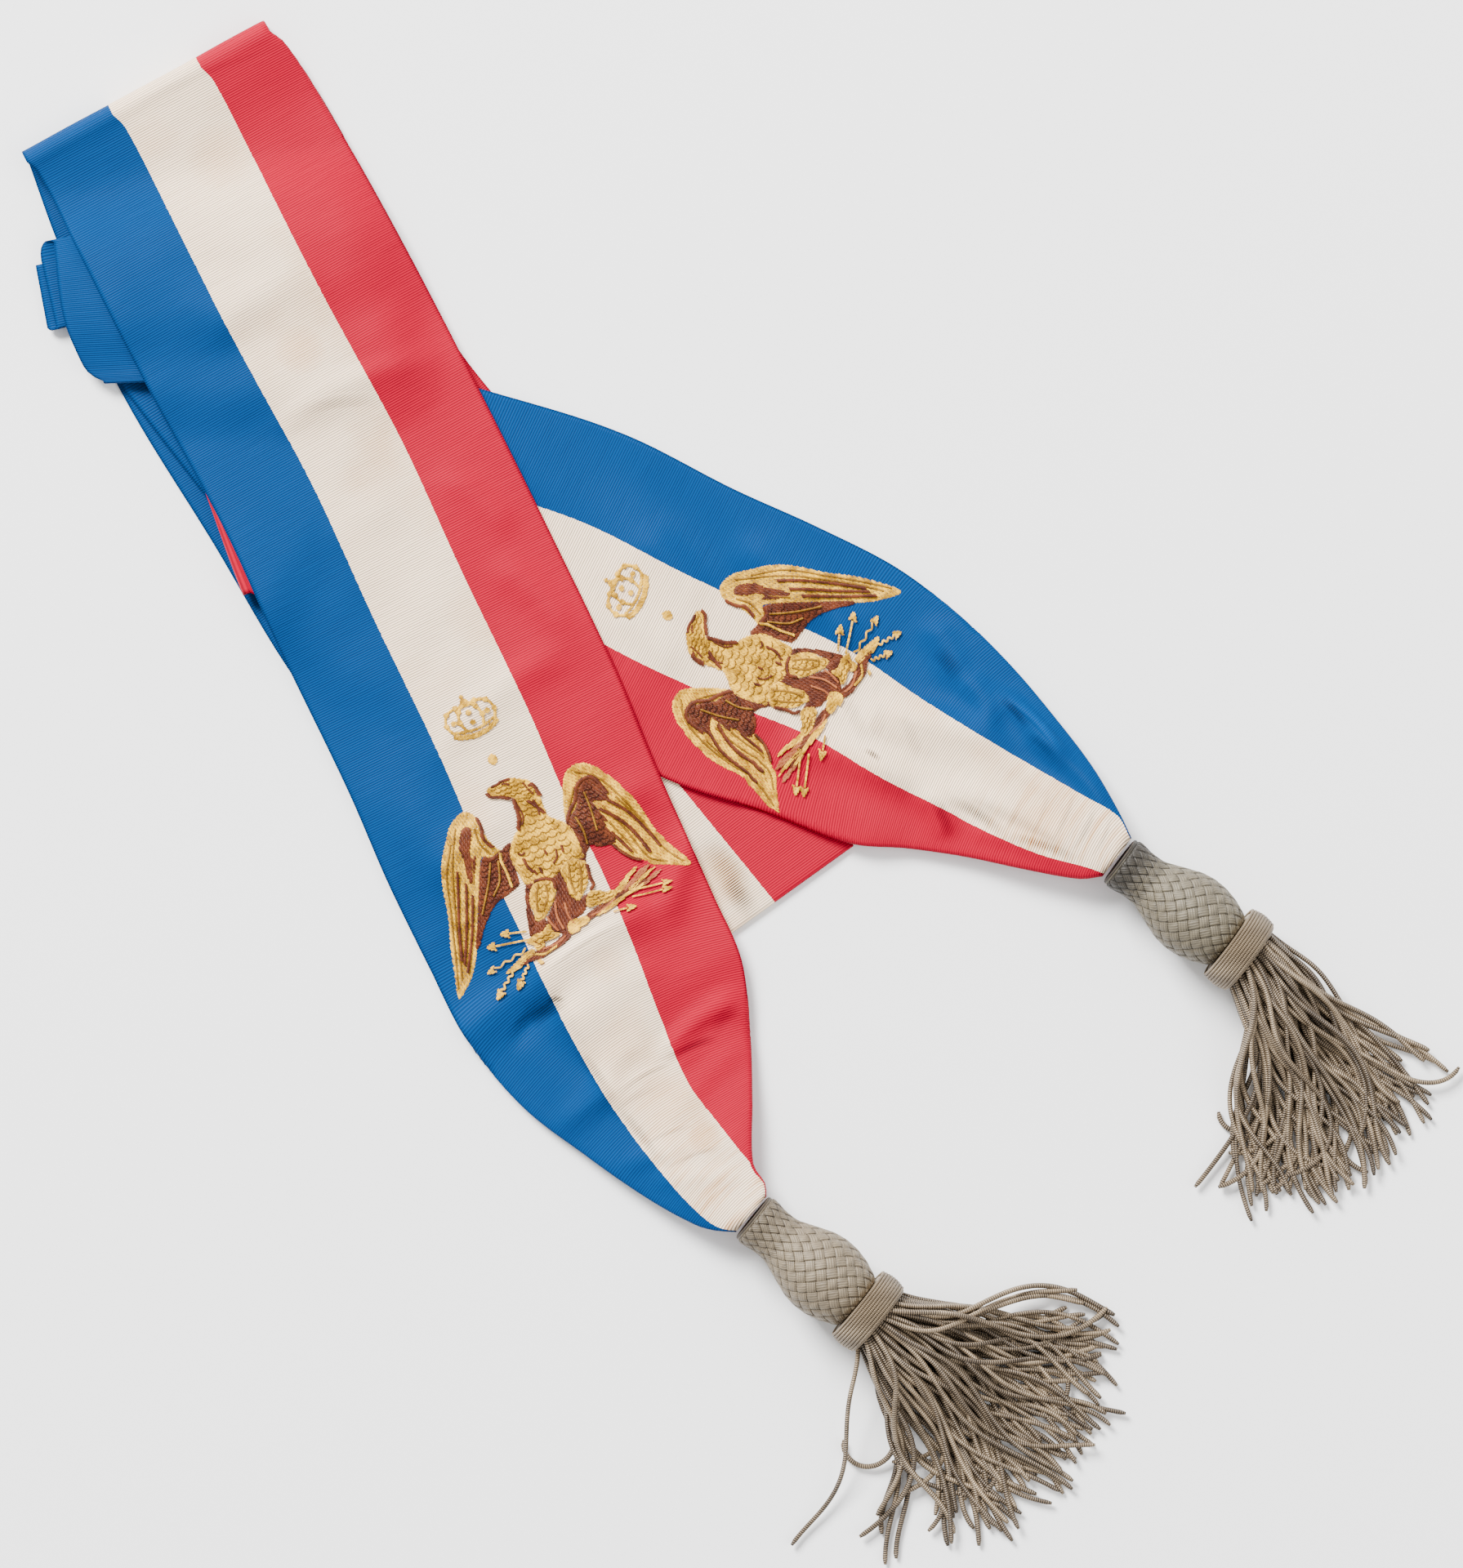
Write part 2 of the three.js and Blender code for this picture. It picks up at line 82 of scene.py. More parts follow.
class Graph:
    def __init__(self, name):
        self.material = bpy.data.materials.new(name)
        self.material.use_nodes = True
        self.tree = self.material.node_tree
        self.tree.nodes.clear()

    # adds one node: its settings first, then the value or wire of each socket, and hands back one output
    def add(self, kind, settings=None, inputs=None, out=0):
        node = self.tree.nodes.new(kind)
        for key, value in (settings or {}).items():
            if key == "stops":
                self.setStops(node.color_ramp, value)
            else:
                setattr(node, key, value)
        for key, value in (inputs or {}).items():
            if isinstance(value, Wire):
                self.tree.links.new(value.socket, node.inputs[key])
            else:
                node.inputs[key].default_value = value
        return Wire(self, node.outputs[out]) if len(node.outputs) else None

    def setStops(self, ramp, stops):
        while len(ramp.elements) < len(stops):
            ramp.elements.new(0.5)
        for element, (place, colour) in zip(ramp.elements, stops):
            element.position = place
            element.color = (*colour, 1) if len(colour) == 3 else colour

    def ramp(self, factor, stops):
        return self.add("ShaderNodeValToRGB", {"stops": stops}, {"Fac": factor})

    def mix(self, factor, first, second, blend="MIX"):
        colours = [(*c, 1) if isinstance(c, tuple) and len(c) == 3 else c for c in (first, second)]
        settings = {"data_type": "RGBA", "blend_type": blend}
        return self.add("ShaderNodeMix", settings, {0: factor, 6: colours[0], 7: colours[1]}, out=2)

    def noise(self, vector, scale, detail):
        inputs = {"Vector": vector, "Scale": scale, "Detail": detail, "Roughness": 0.5}
        return self.add("ShaderNodeTexNoise", {}, inputs)

    def sum(self, operation, first, second):
        return self.add("ShaderNodeMath", {"operation": operation}, {0: first, 1: second})

    # the first two parts of a vector
    def parts(self, vector):
        return [self.add("ShaderNodeSeparateXYZ", {}, {0: vector}, out=k) for k in (0, 1)]

    def layer(self, name):
        return self.parts(self.add("ShaderNodeUVMap", {"uv_map": name}))

    # offsets in plan, in metres, from one place
    def offsets(self, x, y):
        east, north = self.parts(self.add("ShaderNodeTexCoord", {}, {}, out=3))
        return east - x, north - y

    # 1 at a plan place, falling to 0 at some reach from it
    def spot(self, x, y, reach):
        east, north = self.offsets(x, y)
        return self.sum("MAXIMUM", 1 - (east * east + north * north) / (reach * reach), 0)

    # 1 along a line in plan, falling to 0 at its reach to either side and at its ends
    def stroke(self, line):
        x0, y0, x1, y1, reach = line
        length = math.hypot(x1 - x0, y1 - y0)
        ux, uy = (x1 - x0) / length, (y1 - y0) / length
        east, north = self.offsets(x0, y0)
        down = (east * ux + north * uy) * (2 / length) - 1
        bend = (1 - down * down) * (0.05 * length)
        side = (north * ux - east * uy - bend) * (1 / reach)
        profile = self.sum("MAXIMUM", 1 - side * side, 0) * self.sum("MAXIMUM", 1 - down * down, 0)
        return self.sum("POWER", profile, 1.3)

    def vector(self, x, y, z=0.0):
        return self.add("ShaderNodeCombineXYZ", {}, {0: x, 1: y, 2: z})

    def finish(self, **sockets):
        shader = self.add("ShaderNodeBsdfPrincipled", {}, sockets)
        self.add("ShaderNodeOutputMaterial", {}, {"Surface": shader})
        return self.material


def smooth(x):
    x = np.clip(x, 0, 1)
    return x * x * (3 - 2 * x)


def evenAngles(count):
    return tau * np.arange(count) / count


def makePiece(name, vertices, faces, material, uv):
    mesh = bpy.data.meshes.new(name)
    mesh.from_pydata([tuple(v) for v in vertices], [], [tuple(f) for f in faces])
    mesh.materials.append(material)
    mesh.polygons.foreach_set("use_smooth", [True] * len(mesh.polygons))
    corners = np.empty(len(mesh.loops), dtype=np.int32)
    mesh.loops.foreach_get("vertex_index", corners)
    for layerName, places in uv.items():
        layer = mesh.uv_layers.new(name=layerName)
        layer.data.foreach_set("uv", np.asarray(places, dtype=np.float32)[corners].ravel())
    mesh.validate()
    mesh.update()
    piece = bpy.data.objects.new(name, mesh)
    bpy.context.scene.collection.objects.link(piece)
    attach(piece, "root")
    return piece


# The camera looks straight down on the sash. Its frame is as high as the picture, in millimetres.
camera = {"height": 591.6, "centreX": -0.2, "centreY": 1.8, "distance": 2600, "sensor": 36, "farthest": 20}


def makeCamera(c):
    data = bpy.data.cameras.new("camera")
    holder = bpy.data.objects.new("camera", data)
    bpy.context.scene.collection.objects.link(holder)
    data.sensor_fit = "VERTICAL"
    data.sensor_height = c["sensor"]
    data.lens = c["sensor"] * c["distance"] / c["height"]
    data.clip_end = c["farthest"]
    holder.location = (c["centreX"] * mm, c["centreY"] * mm, c["distance"] * mm)
    bpy.context.scene.camera = holder


makeCamera(camera)
print("camera done")

# The ribbon. Every size is in millimetres. Each run is one length of the sash between two folds, as a table
# of sections: the plan places of its blue edge and its red edge as seen from above, the visible widths of the
# blue and the white stripe, the lift of the whole section, and the rise of its middle over its sides.
ribbon = {
    "width": 110,
    "blue": 37,  # width of the blue stripe
    "white": 37.5,  # and of the white one
    "thick": 0.7,
    "pitch": 1.5,  # from one layer to the next one lying on it
    "step": 2.5,  # between sections
    "half": 30,  # columns from one edge to the middle
    "foldSteps": 8,
    "easeMargin": 4,
    "easeRun": 22,
    "blueFlap": 0.75,  # radius of the turned-under bend on the blue side
    "redFlap": 1.5,
    "rib": 0.9,  # from one woven rib to the next
    "ribBow": 0.0035,  # how much the ribs bend where the cloth is gathered to the neck
    "bowFrom": [90, 150],  # and between which distances from the neck that fades
    "bendColumns": 8,  # columns in the bend of a turned-under side
    "leastSeen": 3.4,  # of a section, between its turned-under sides
    "leastFlap": 1.5,  # a narrower flap is left out
    "topLevels": [5, 8],  # the two ends, which have waves and creases of their own
    "topClear": 0.6,  # how much higher these lie, for their waves
    "backJoin": 66,  # from the last fold to the join of the back end
    "neckEase": 20,  # distance from the neck over which waves and creases set in
}
columns = 2 * ribbon["half"]
flat = [ribbon["blue"], ribbon["white"], 0, 0]  # a section that lies flat with all its stripes seen
runs = [
    {
        "name": "front end, from its tassel up to the top fold",
        "level": 8,
        "neck": [7, -160],
        "rows": [
            [1.5, -166.0, 12.6, -153.0, 0.3, 18.8, 14.5, 2.6],
            [-6.0, -165.6, 12.2, -148.3, 1.6, 25.5, 13.0, 2.6],
            [-14.2, -163.3, 7.7, -140.8, 4.2, 26.6, 11.0, 2.4],
            [-32.4, -153.4, 7.4, -117.4, 10.5, 28, 8.0, 1.4],
            [-54.8, -138.0, 6.8, -94.9, 18.5, 28.5, 4.8, 0.5],
            [-79.2, -119.2, 3.8, -65.2, 29, 33, 3.0, 0],
            [-101.1, -92.7, -6.9, -40.3, 36, 36.5, 1.2, 0],
            [-114.3, -67.2, -16.4, -19.0, *flat],
            [-129.4, -36.1, -30.2, 12.1, 37, 37.5, 0.2, 0],
            [-144.2, -1.8, -44.4, 46.4, *flat],
            [-167.6, 46.8, -67.8, 95.2, *flat],
            [-190.1, 96.1, -94.3, 148.5, *flat],
            [-218.8, 149.4, -122.9, 203.7, *flat],
            [-247.1, 204.9, -152.8, 257.0, 37, 37.5, 1.5, 0],
            [-261.0, 231.8, -168.4, 280.6, 37, 37.5, 6.0, 0],
            [-265.0, 235.5, -174.0, 284.8, 37, 37.5, 7.5, 0],
        ],
    },
    {
        "name": "lowest layer, from the top fold down to the lower fold",
        "level": 0,
        "rows": [
            [-265.0, 235.5, -174.0, 284.8, *flat],
            [-254.5, 206.4, -156.5, 256.4, *flat],
            [-231.7, 152.2, -135.9, 206.4, *flat],
            [-196.0, 93.1, -102.6, 151.3, *flat],
            [-162.7, 38.5, -71.5, 100.1, *flat],
            [-107.2, -29.0, -23.1, 41.9, *flat],
            [-45.0, -85.4, 45.3, -20.6, *flat],
        ],
    },
    {
        "name": "second layer, back up from the lower fold to the folded bundle",
        "level": 1,
        "rows": [
            [-45.0, -85.4, 45.3, -20.6, *flat],
            [-102.0, -15.1, -16.6, 54.2, *flat],
            [-152.8, 53.0, -67.5, 121.7, *flat],
            [-185.2, 93.4, -98.9, 159.9, *flat],
            [-229.6, 151.3, -131.3, 205.2, *flat],
            [-261.9, 195.7, -155.0, 218.2, *flat],
        ],
    },
    {
        "name": "bundle, first short layer",
        "level": 2,
        "rows": [
            [-262.2, 196.3, -155.0, 218.8, *flat],
            [-258.0, 173.8, -150.7, 196.0, *flat],
        ],
    },
    {
        "name": "bundle, second short layer",
        "level": 3,
        "rows": [
            [-254.6, 174.3, -147.6, 196.5, *flat],
            [-260.1, 199.0, -152.5, 221.5, *flat],
        ],
    },
    {
        "name": "bundle, long layer wrapped over it",
        "level": 7,
        "rows": [
            [-255.1, 205.5, -146.7, 224.3, *flat],
            [-251.4, 177.5, -141.7, 183.6, *flat],
            [-244.8, 160.4, -135.0, 163.4, *flat],
            [-241.4, 155.9, -133.2, 158.6, *flat],
            [-236.6, 153.5, -132.2, 156.2, *flat],
        ],
    },
    {
        "name": "bundle, layer inside the wrap",
        "level": 6,
        "rows": [
            [-235.6, 154.1, -131.3, 157.1, *flat],
            [-240.6, 158.8, -132.0, 162.4, *flat],
            [-245.3, 191.3, -136.8, 208.3, *flat],
        ],
    },
    {
        "name": "turn of the sash from the bundle towards its other end",
        "level": 4,
        "rows": [
            [-244.6, 191.0, -136.8, 207.1, *flat],
            [-236.6, 188.0, -146.7, 143.6, *flat],
            [-225.2, 182.4, -181.2, 73.9, *flat],
        ],
    },
    {
        "name": "back end, from its fold out to its tassel",
        "level": 5,
        "neck": [144, -26],
        "rows": [
            [-225.2, 182.4, -181.2, 73.9, *flat],
            [-159.0, 167.6, -152.8, 59.8, *flat],
            [-91.2, 149.7, -132.5, 47.8, *flat],
            [-41.9, 134.3, -90.3, 34.8, *flat],
            [1.2, 112.8, -48.7, 14.8, *flat],
            [32.0, 98.9, -17.9, 0.9, *flat],
            [62.9, 82.9, 13.6, -8.9, 36, 35.5, 1.0, 0],
            [87.5, 63.5, 44.4, -20.3, 34, 33, 3.0, 0],
            [106.0, 45.0, 65.9, -22.2, 28, 31, 4.5, 0.4],
            [121.4, 26.5, 87.5, -25.3, 20, 30, 7.0, 1.0],
            [135.3, 8.0, 112.2, -30.5, 11, 27, 10.0, 2.0],
            [145.4, -9.6, 130.6, -33.6, 1.2, 22, 13.0, 2.8],
            [149.6, -18.6, 138.9, -32.6, 0.3, 16, 14.3, 2.6],
        ],
    },
]
# Soft rises in the stack: where, how far they reach, how high, and the lowest level that takes part
swells = [
    [-181, 76, 60, 3.0, 5],
    [-120, -10, 70, 1.6, 1],
    [-40, 60, 60, 1.4, 5],
    [-190, 140, 60, 1.2, 1],
    [-60, -60, 50, 1.5, 8],
    [20, 40, 50, 1.0, 5],
]


# values of a table at some places along it, by a smooth curve through its rows
def curveThrough(rows, places, at):
    rows = np.asarray(rows, dtype=float)
    places = np.asarray(places, dtype=float)
    count = len(rows)
    low = np.maximum(np.arange(count) - 1, 0)
    high = np.minimum(np.arange(count) + 1, count - 1)
    slopes = (rows[high] - rows[low]) / (places[high] - places[low])[:, None]
    i = np.clip(np.searchsorted(places, at, side="right") - 1, 0, count - 2)
    span = (places[i + 1] - places[i])[:, None]
    t = (np.asarray(at) - places[i])[:, None] / span
    first = (2 * t**3 - 3 * t**2 + 1) * rows[i] + (t**3 - 2 * t**2 + t) * span * slopes[i]
    return first + (3 * t**2 - 2 * t**3) * rows[i + 1] + (t**3 - t**2) * span * slopes[i + 1]


def sectionsOf(run):
    rows = np.asarray(run["rows"], dtype=float)
    middle = (rows[:, 0:2] + rows[:, 2:4]) / 2
    places = np.concatenate([[0], np.cumsum(np.linalg.norm(np.diff(middle, axis=0), axis=1))])
    steps = max(4, round(places[-1] / ribbon["step"]))
    return curveThrough(rows, places, np.linspace(0, places[-1], steps + 1))


for run in runs:
    run["sections"] = sectionsOf(run)
    run["outline"] = np.concatenate([run["sections"][:, 0:2], run["sections"][::-1, 2:4]])[::2]


# how far plan points are outside an outline, or 0 inside it
def distanceOutside(points, outline):
    following = np.roll(outline, -1, axis=0)
    nearest = np.full(len(points), np.inf)
    inside = np.zeros(len(points), dtype=bool)
    for a, b in zip(outline, following):
        edge = b - a
        share = np.clip((points - a) @ edge / max(edge @ edge, 1e-9), 0, 1)
        nearest = np.minimum(nearest, np.linalg.norm(points - a - share[:, None] * edge, axis=1))
        if a[1] != b[1]:
            crossing = a[0] + edge[0] * (points[:, 1] - a[1]) / edge[1]
            inside ^= ((a[1] > points[:, 1]) != (b[1] > points[:, 1])) & (points[:, 0] < crossing)
    return np.where(inside, 0, nearest)


creaseShape = {"bow": 0.06, "whole": 0.3, "fadeRun": 0.35, "fade": 2.5}  # shares of a crease's length
# Creases and folds in one layer: level, start, end, width of the near and far side, and rise
creases = [
    [8, -76, -74, -32, -44.5, 4, 9, 4.2],
    [8, -103, -95, -76, -74, 5, 10, 2.8],
    [8, -81, -94, -62, -79, 3.5, 4, -2.2],
    [8, -62, -92, -30, -66, 9, 9, 2.2],
    [8, -25, -101, 2, -78, 4, 8, 3.4],
    [8, -26, -106, 0, -85, 3, 3, -1.4],
    [8, -66, -78, -46, -113, 7, 3, 2.4],
    [8, -46, -113, -14, -156, 6, 3, 2.0],
    [8, -52, -118, -36, -96, 5, 5, 1.7],
    [8, -66, -128, -30, -108, 4, 5, 1.7],
    [8, -40, -142, -4, -134, 3.5, 3.5, 1.4],
    [8, -28, -148, 2, -146, 3, 3, 1.2],
    [8, -24, -128, 4, -96, 5, 5, 1.2],
    [8, -170, 137, -116, 162, 4, 6, 1.7],
    [8, -110, 14, -66, 51, 5, 7, 1.6],
    [8, -196, 168, -160, 196, 8, 8, 1.6],
    [8, -88, 84, -62, 60, 6, 7, 1.4],
    [8, -108, 118, -84, 98, 6, 6, 1.4],
    [8, -150, 92, -128, 108, 8, 8, 1.2],
    [8, -112, -34, -84, -10, 8, 7, 1.6],
    [8, -58, -18, -30, 2, 7, 7, 1.7],
    [8, -24, -48, -12, -14, 6, 6, 2.8],
    [5, 48, 26, 104, 16, 7, 9, 4.2],
    [5, 24, 18, 66, 2, 6, 8, 3.6],
    [5, 50, 12, 84, -10, 5, 7, 2.6],
    [5, 88, 42, 98, 24, 5, 5, 2.6],
    [5, 100, 36, 124, 12, 3, 5, 2.6],
    [5, 75, 62, 85, 42, 5, 6, 2.0],
    [5, 74, -1, 81, -17, 4, 5, 2.0],
    [5, 84, -1, 128, -23, 7, 3, 2.6],
    [5, 100, 10, 136, -16, 4, 5, 1.6],
    [5, 112, 20, 140, -6, 3.5, 3.5, 1.6],
    [5, 92, -16, 124, -28, 3.5, 3.5, 1.2],
    [5, 4, 92, 28, 64, 8, 9, 2.0],
    [5, -34, 96, -12, 70, 9, 8, 1.6],
    [5, -6, 44, 12, 22, 8, 7, 1.7],
    [5, 20, 78, 46, 56, 6, 8, 2.2],
    [5, -42, 66, -22, 46, 6, 6, 1.4],
]


def creaseHeight(level, points):
    height = np.zeros(len(points))
    for own, x0, y0, x1, y1, near, far, rise in creases:
        if own != level:
            continue
        run = np.array([x1 - x0, y1 - y0], dtype=float)
        length = np.linalg.norm(run)
        run /= length
        offset = points - (x0, y0)
        down = offset @ run / length
        side = offset @ np.array([-run[1], run[0]])
        bend = creaseShape["bow"] * length * (1 - (2 * np.clip(down, 0, 1) - 1) ** 2)
        side = side - bend
        width = np.where(side > 0, near, far)
        past = np.maximum(np.abs(down - 0.5) - creaseShape["whole"], 0) / creaseShape["fadeRun"]
        height += rise * np.exp(-((side / width) ** 2)) * np.exp(-creaseShape["fade"] * past**2)
    return height


# Slow waves of a cloth that has long lain folded, the same for both ends
waveHeights = {"dimples": 0.35, "ripples": 0.25}


def waves(points):
    x, y = points[:, 0], points[:, 1]
    dimples = np.sin(x / 9.1 + 1.3 * np.sin(y / 17)) * np.sin(y / 11.3 + 0.8 * np.sin(x / 13))
    ripples = np.sin((x + 0.6 * y) / 6.7 + 2) * np.sin((y - 0.4 * x) / 19)
    return waveHeights["dimples"] * dimples + waveHeights["ripples"] * ripples


# every layer settles on all the layers below it, and eases down past their edges
def settledHeight(level, points):
    height = np.full(len(points), 0.5)
    for other in runs:
        if other["level"] < level:
            past = distanceOutside(points, other["outline"]) - ribbon["easeMargin"]
            height += ribbon["pitch"] * (1 - smooth(past / ribbon["easeRun"]))
    for x, y, reach, rise, lowest in swells:
        if lowest <= level:
            height += rise * (1 - smooth(np.hypot(points[:, 0] - x, points[:, 1] - y) / reach))
    return height


# place across, depth and woven place of one side's columns, counted from its selvedge
def sideColumns(tucked, width, radius):
    half = ribbon["half"]
    inBends = ribbon["bendColumns"]
    onFace = half - 2 * inBends + 3
    flap = max(0.0, min(tucked, width - ribbon["leastSeen"]))
    bend = math.pi * radius
    whole = flap + width / 2
    even = whole * np.arange(half) / (half - 0.5)
    folded = np.concatenate([
        np.linspace(0, max(flap - bend, 0.1), inBends),
        np.linspace(max(flap - bend, 0.1), max(flap, 0.2), inBends)[1:],
        np.linspace(flap, flap + width / 2 * (1 - 0.5 / (onFace - 0.5)), onFace)[1:],
    ])[:half]
    share = smooth(flap / (2 * bend))
    edge = even + (folded - even) * share
    angle = np.minimum((edge - flap + bend / 2) / radius, math.pi / 2)
    start = radius * max(0, 1 - flap / (bend / 2))
    onTop = edge >= flap
    inBend = angle >= -math.pi / 2
    across = np.where(inBend, radius * (1 - np.cos(angle)) - start, radius + flap - bend - edge - start)
    across = np.where(onTop, (edge - flap) * (1 - 2 * (radius - start) / width) + radius - start, across)
    depth = np.where(inBend, radius * (1 - np.sin(angle)), 2 * radius)
    depth = np.where(onTop, 0, depth)
    turned = np.where(onTop, -1, edge / max(flap, 1e-6))
    return np.clip(across, 0, width), depth, turned


def distanceFromNeck(points, neck):
    return np.hypot(points[:, 0] - neck[0], points[:, 1] - neck[1])


def layRun(run):
    rows = []
    for blueX, blueY, redX, redY, blueSeen, whiteSeen, lift, arch in run["sections"]:
        blueEdge = np.array([blueX, blueY])
        direction = np.array([redX, redY]) - blueEdge
        width = float(np.linalg.norm(direction))
        direction /= width
        redWidth = ribbon["width"] - ribbon["blue"] - ribbon["white"]
        redSeen = width - blueSeen - whiteSeen
        blueTuck = max(0.0, ribbon["blue"] - blueSeen * ribbon["blue"] / max(ribbon["blue"], blueSeen))
        redTuck = max(0.0, redWidth - redSeen)
        blueTuck = blueTuck if blueTuck > ribbon["leastFlap"] else 0.0
        redTuck = redTuck if redTuck > ribbon["leastFlap"] else 0.0
        sides = []
        flaps = (False, blueTuck, ribbon["blueFlap"]), (True, redTuck, ribbon["redFlap"])
        for fromRed, tuck, radius in flaps:
            across, depth, turned = sideColumns(tuck, width, radius)
            x = width - across if fromRed else across
            knots = [0, blueSeen, width - max(redSeen, 0), width + 0.001]
            endOfWhite = ribbon["blue"] + ribbon["white"] + min(redSeen, 0)
            woven = [blueTuck, ribbon["blue"], endOfWhite, ribbon["width"] - redTuck]
            seen = np.interp(x, knots, woven)
            under = ribbon["width"] - turned * redTuck if fromRed else turned * blueTuck
            part = np.stack([x, depth, np.where(turned < 0, seen, under)], axis=1)
            sides.append(part[::-1] if fromRed else part)
        part = np.concatenate(sides)
        plan = blueEdge + part[:, 0:1] * direction
        bow = arch * (1 - (2 * part[:, 0] / width - 1) ** 2)
        rows.append(np.column_stack([plan, max(lift, 0) + bow - part[:, 1], part[:, 2]]))
    rows = np.array(rows)
    points = rows[:, :, 0:2].reshape(-1, 2)
    relief = creaseHeight(run["level"], points)
    if run["level"] in ribbon["topLevels"]:
        ease = smooth(distanceFromNeck(points, run["neck"]) / ribbon["neckEase"])
        relief = (relief + (waves(points) + ribbon["topClear"])) * ease
    rows[:, :, 2] += (settledHeight(run["level"], points) + relief).reshape(rows.shape[:2])
    return rows


# sections round a fold: level out to the further of its two lines, round the bend there, and back
def foldBetween(before, last, following):
    crease = last[-1, 0:2] - last[0, 0:2]
    crease /= np.linalg.norm(crease)
    travel = last[columns // 2, 0:2] - before[columns // 2, 0:2]
    outward = travel - (travel @ crease) * crease
    outward /= np.linalg.norm(outward)
    radius = np.abs(following[:, 2] - last[:, 2]) / 2
    shift = (following[:, 0:2] - last[:, 0:2]) @ outward
    rows = []
    for k in range(1, ribbon["foldSteps"]):
        angle = math.pi * k / ribbon["foldSteps"]
        share = (1 - math.cos(angle)) / 2
        soon = math.sin(min(angle, math.pi / 2))
        late = 1 - math.sin(max(angle, math.pi / 2))
        row = last + (following - last) * share
        out = shift * (np.where(shift > 0, soon, late) - share) + radius * math.sin(angle)
        row[:, 0:2] += outward * out[:, None]
        rows.append(row)
    return np.array(rows)


def layRibbon():
    whole = []
    starts = []
    for run in runs:
        laid = layRun(run)
        if whole:
            whole.append(foldBetween(whole[-1][-2], whole[-1][-1], laid[0]))
        starts.append(sum(len(w) for w in whole))
        whole.append(laid)
    surface = np.concatenate(whole)
    middle = surface[:, columns // 2, 0:3]
    along = np.concatenate([[0], np.cumsum(np.linalg.norm(np.diff(middle, axis=0), axis=1))])
    return surface, along, starts


surface, along, starts = layRibbon()
print("ribbon laid, length %.0f mm, %d sections" % (along[-1], len(along)))


def surfaceNormals(points):
    alongRows = np.gradient(points, axis=0)
    acrossRows = np.gradient(points, axis=1)
    normals = np.cross(alongRows, acrossRows)
    return normals / np.maximum(np.linalg.norm(normals, axis=2, keepdims=True), 1e-9)


normals = surfaceNormals(surface[:, :, 0:3])


# Old stains of the white stripe, and one painted contact shadow: plan place, reach and depth
stainsAndShadow = [
    [-162, 165, 10, 0.3],
    [-10, -131, 7, 0.4],
    [-21, -120, 16, 0.22],
    [-47, -66, 8, 0.16],
    # painted contact shadow beside the front end's red edge
    [-7, -34, 14, 0.3],
    [-96, 66, 14, 0.12],
    [-236, 232, 10, 0.2],
    [-192, 238, 14, 0.2],
    [118, -8, 16, 0.22],
]


# Sharp lines of the creases: start and end in plan, reach, painted shade (a painted highlight if negative),
# and rise in the bump
creaseLines = [
    [-74, -67, -42, -45.5, 1.8, 0.3, 0],
    [-73, -70.5, -41, -49, 2.2, -0.12, 5],
    [-70, -79.8, -62.5, -79, 1.6, 0.5, 0],
    [-76, -89, -63, -80, 3.6, 0.42, 0],
    [-60, -97, -44, -120, 3.0, 0.3, 0],
    [-45, -119, -27, -142, 2.6, 0.28, 0],
    [-25, -102.5, -5, -93.5, 2.0, 0.42, 0],
    [-8, -92, 3, -82, 3.4, 0.22, 0],
    [-43, -114, -23, -103, 1.4, 0.2, 3],
    [-46, -122, -30, -112, 2.0, 0.14, 2],
    [-235, 249, -168, 278.5, 2.0, 0.1, 0],
    [-164, 142, -130, 146.5, 3.0, 0.14, 2],
    [49.5, 14.8, 56, 10.5, 1.5, 0.5, 0],
    [40, 38, 50, 16, 3.4, 0.14, 0],
    [56, 34, 52, 18, 3.4, 0.12, 2],
    [64, 28, 70, 10, 3.0, 0.14, 0],
    [80, -3.5, 104, -18.5, 2.8, 0.42, 0],
    [102, -17.5, 130, -27.5, 2.4, 0.4, 0],
    [101, 34, 111, 23, 2.0, 0.4, 0],
    [103.5, 35, 125, 12.5, 2.2, -0.25, 5],
    [110, 21, 122, 11, 2.2, 0.25, 0],
    [76, 53, 85, 41.5, 4.0, 0.3, 0],
    [75, -2.5, 82, -19, 3.0, 0.35, 0],
    [108, -3, 101, -17, 1.6, 0.1, 2],
    [119, 1, 111, -18, 1.3, 0.12, 2],
    [128, 0, 119, -20, 1.5, 0.16, 3],
    [136, -5, 127, -23, 1.6, 0.2, 3],
    [142, -9, 135, -25, 1.2, 0.16, 2],
    # two wide lines of painted contact shadow beside the front end's red edge
    [-12, -17, 6, -46, 6.5, 0.36, 0],
    [-4, -34, 9, -50, 5.0, 0.3, 0],
    [-34, -134, -14, -126, 1.3, 0.16, 2],
    [-24, -142, -4, -134, 1.2, 0.16, 2],
]


# The silk: its colours, its soil, the painted shade of its ribs, pleats and creases, and how its edges look
silkLook = {
    "blue": (0.001, 0.04, 0.152),
    "white": (0.94, 0.72, 0.51),
    "red": (0.37, 0.0, 0.02),
    # the colour towards which soil, stains and the painted shade of pleats and of a contact shadow blend
    "dirtAndShade": (0.2, 0.14, 0.1),
    "shade": 0.87,
    "ribShade": 0.5,  # painted shade between the ribs
    "whiteRibShade": 0.42,  # and how much more of that painted shade in the white stripe
    "cloudFrom": 0.46,  # noise below which the cloth is soiled
    "cloudSoil": 1.3,
    "pleatReach": 70,  # distance from the neck within which the fine pleats get painted shade
    "pleatFrom": 0.52,
    "pleatShadeDepth": 2.6,
    "soilAndShadeTint": (0, 0.3, 0.6),  # how much soil and painted shade take from the red, green and blue of the cloth
    "soilAndShadeCover": 0.6,
    "yarnShade": 0.16,  # unevenness along and across the yarns
    "ribYarnShade": 0.24,
    "selvedge": 0.7,
    "selvedgeDark": 0.22,
    "relief": 0.25,  # of the ribs
    "sheen": 0.04,
}


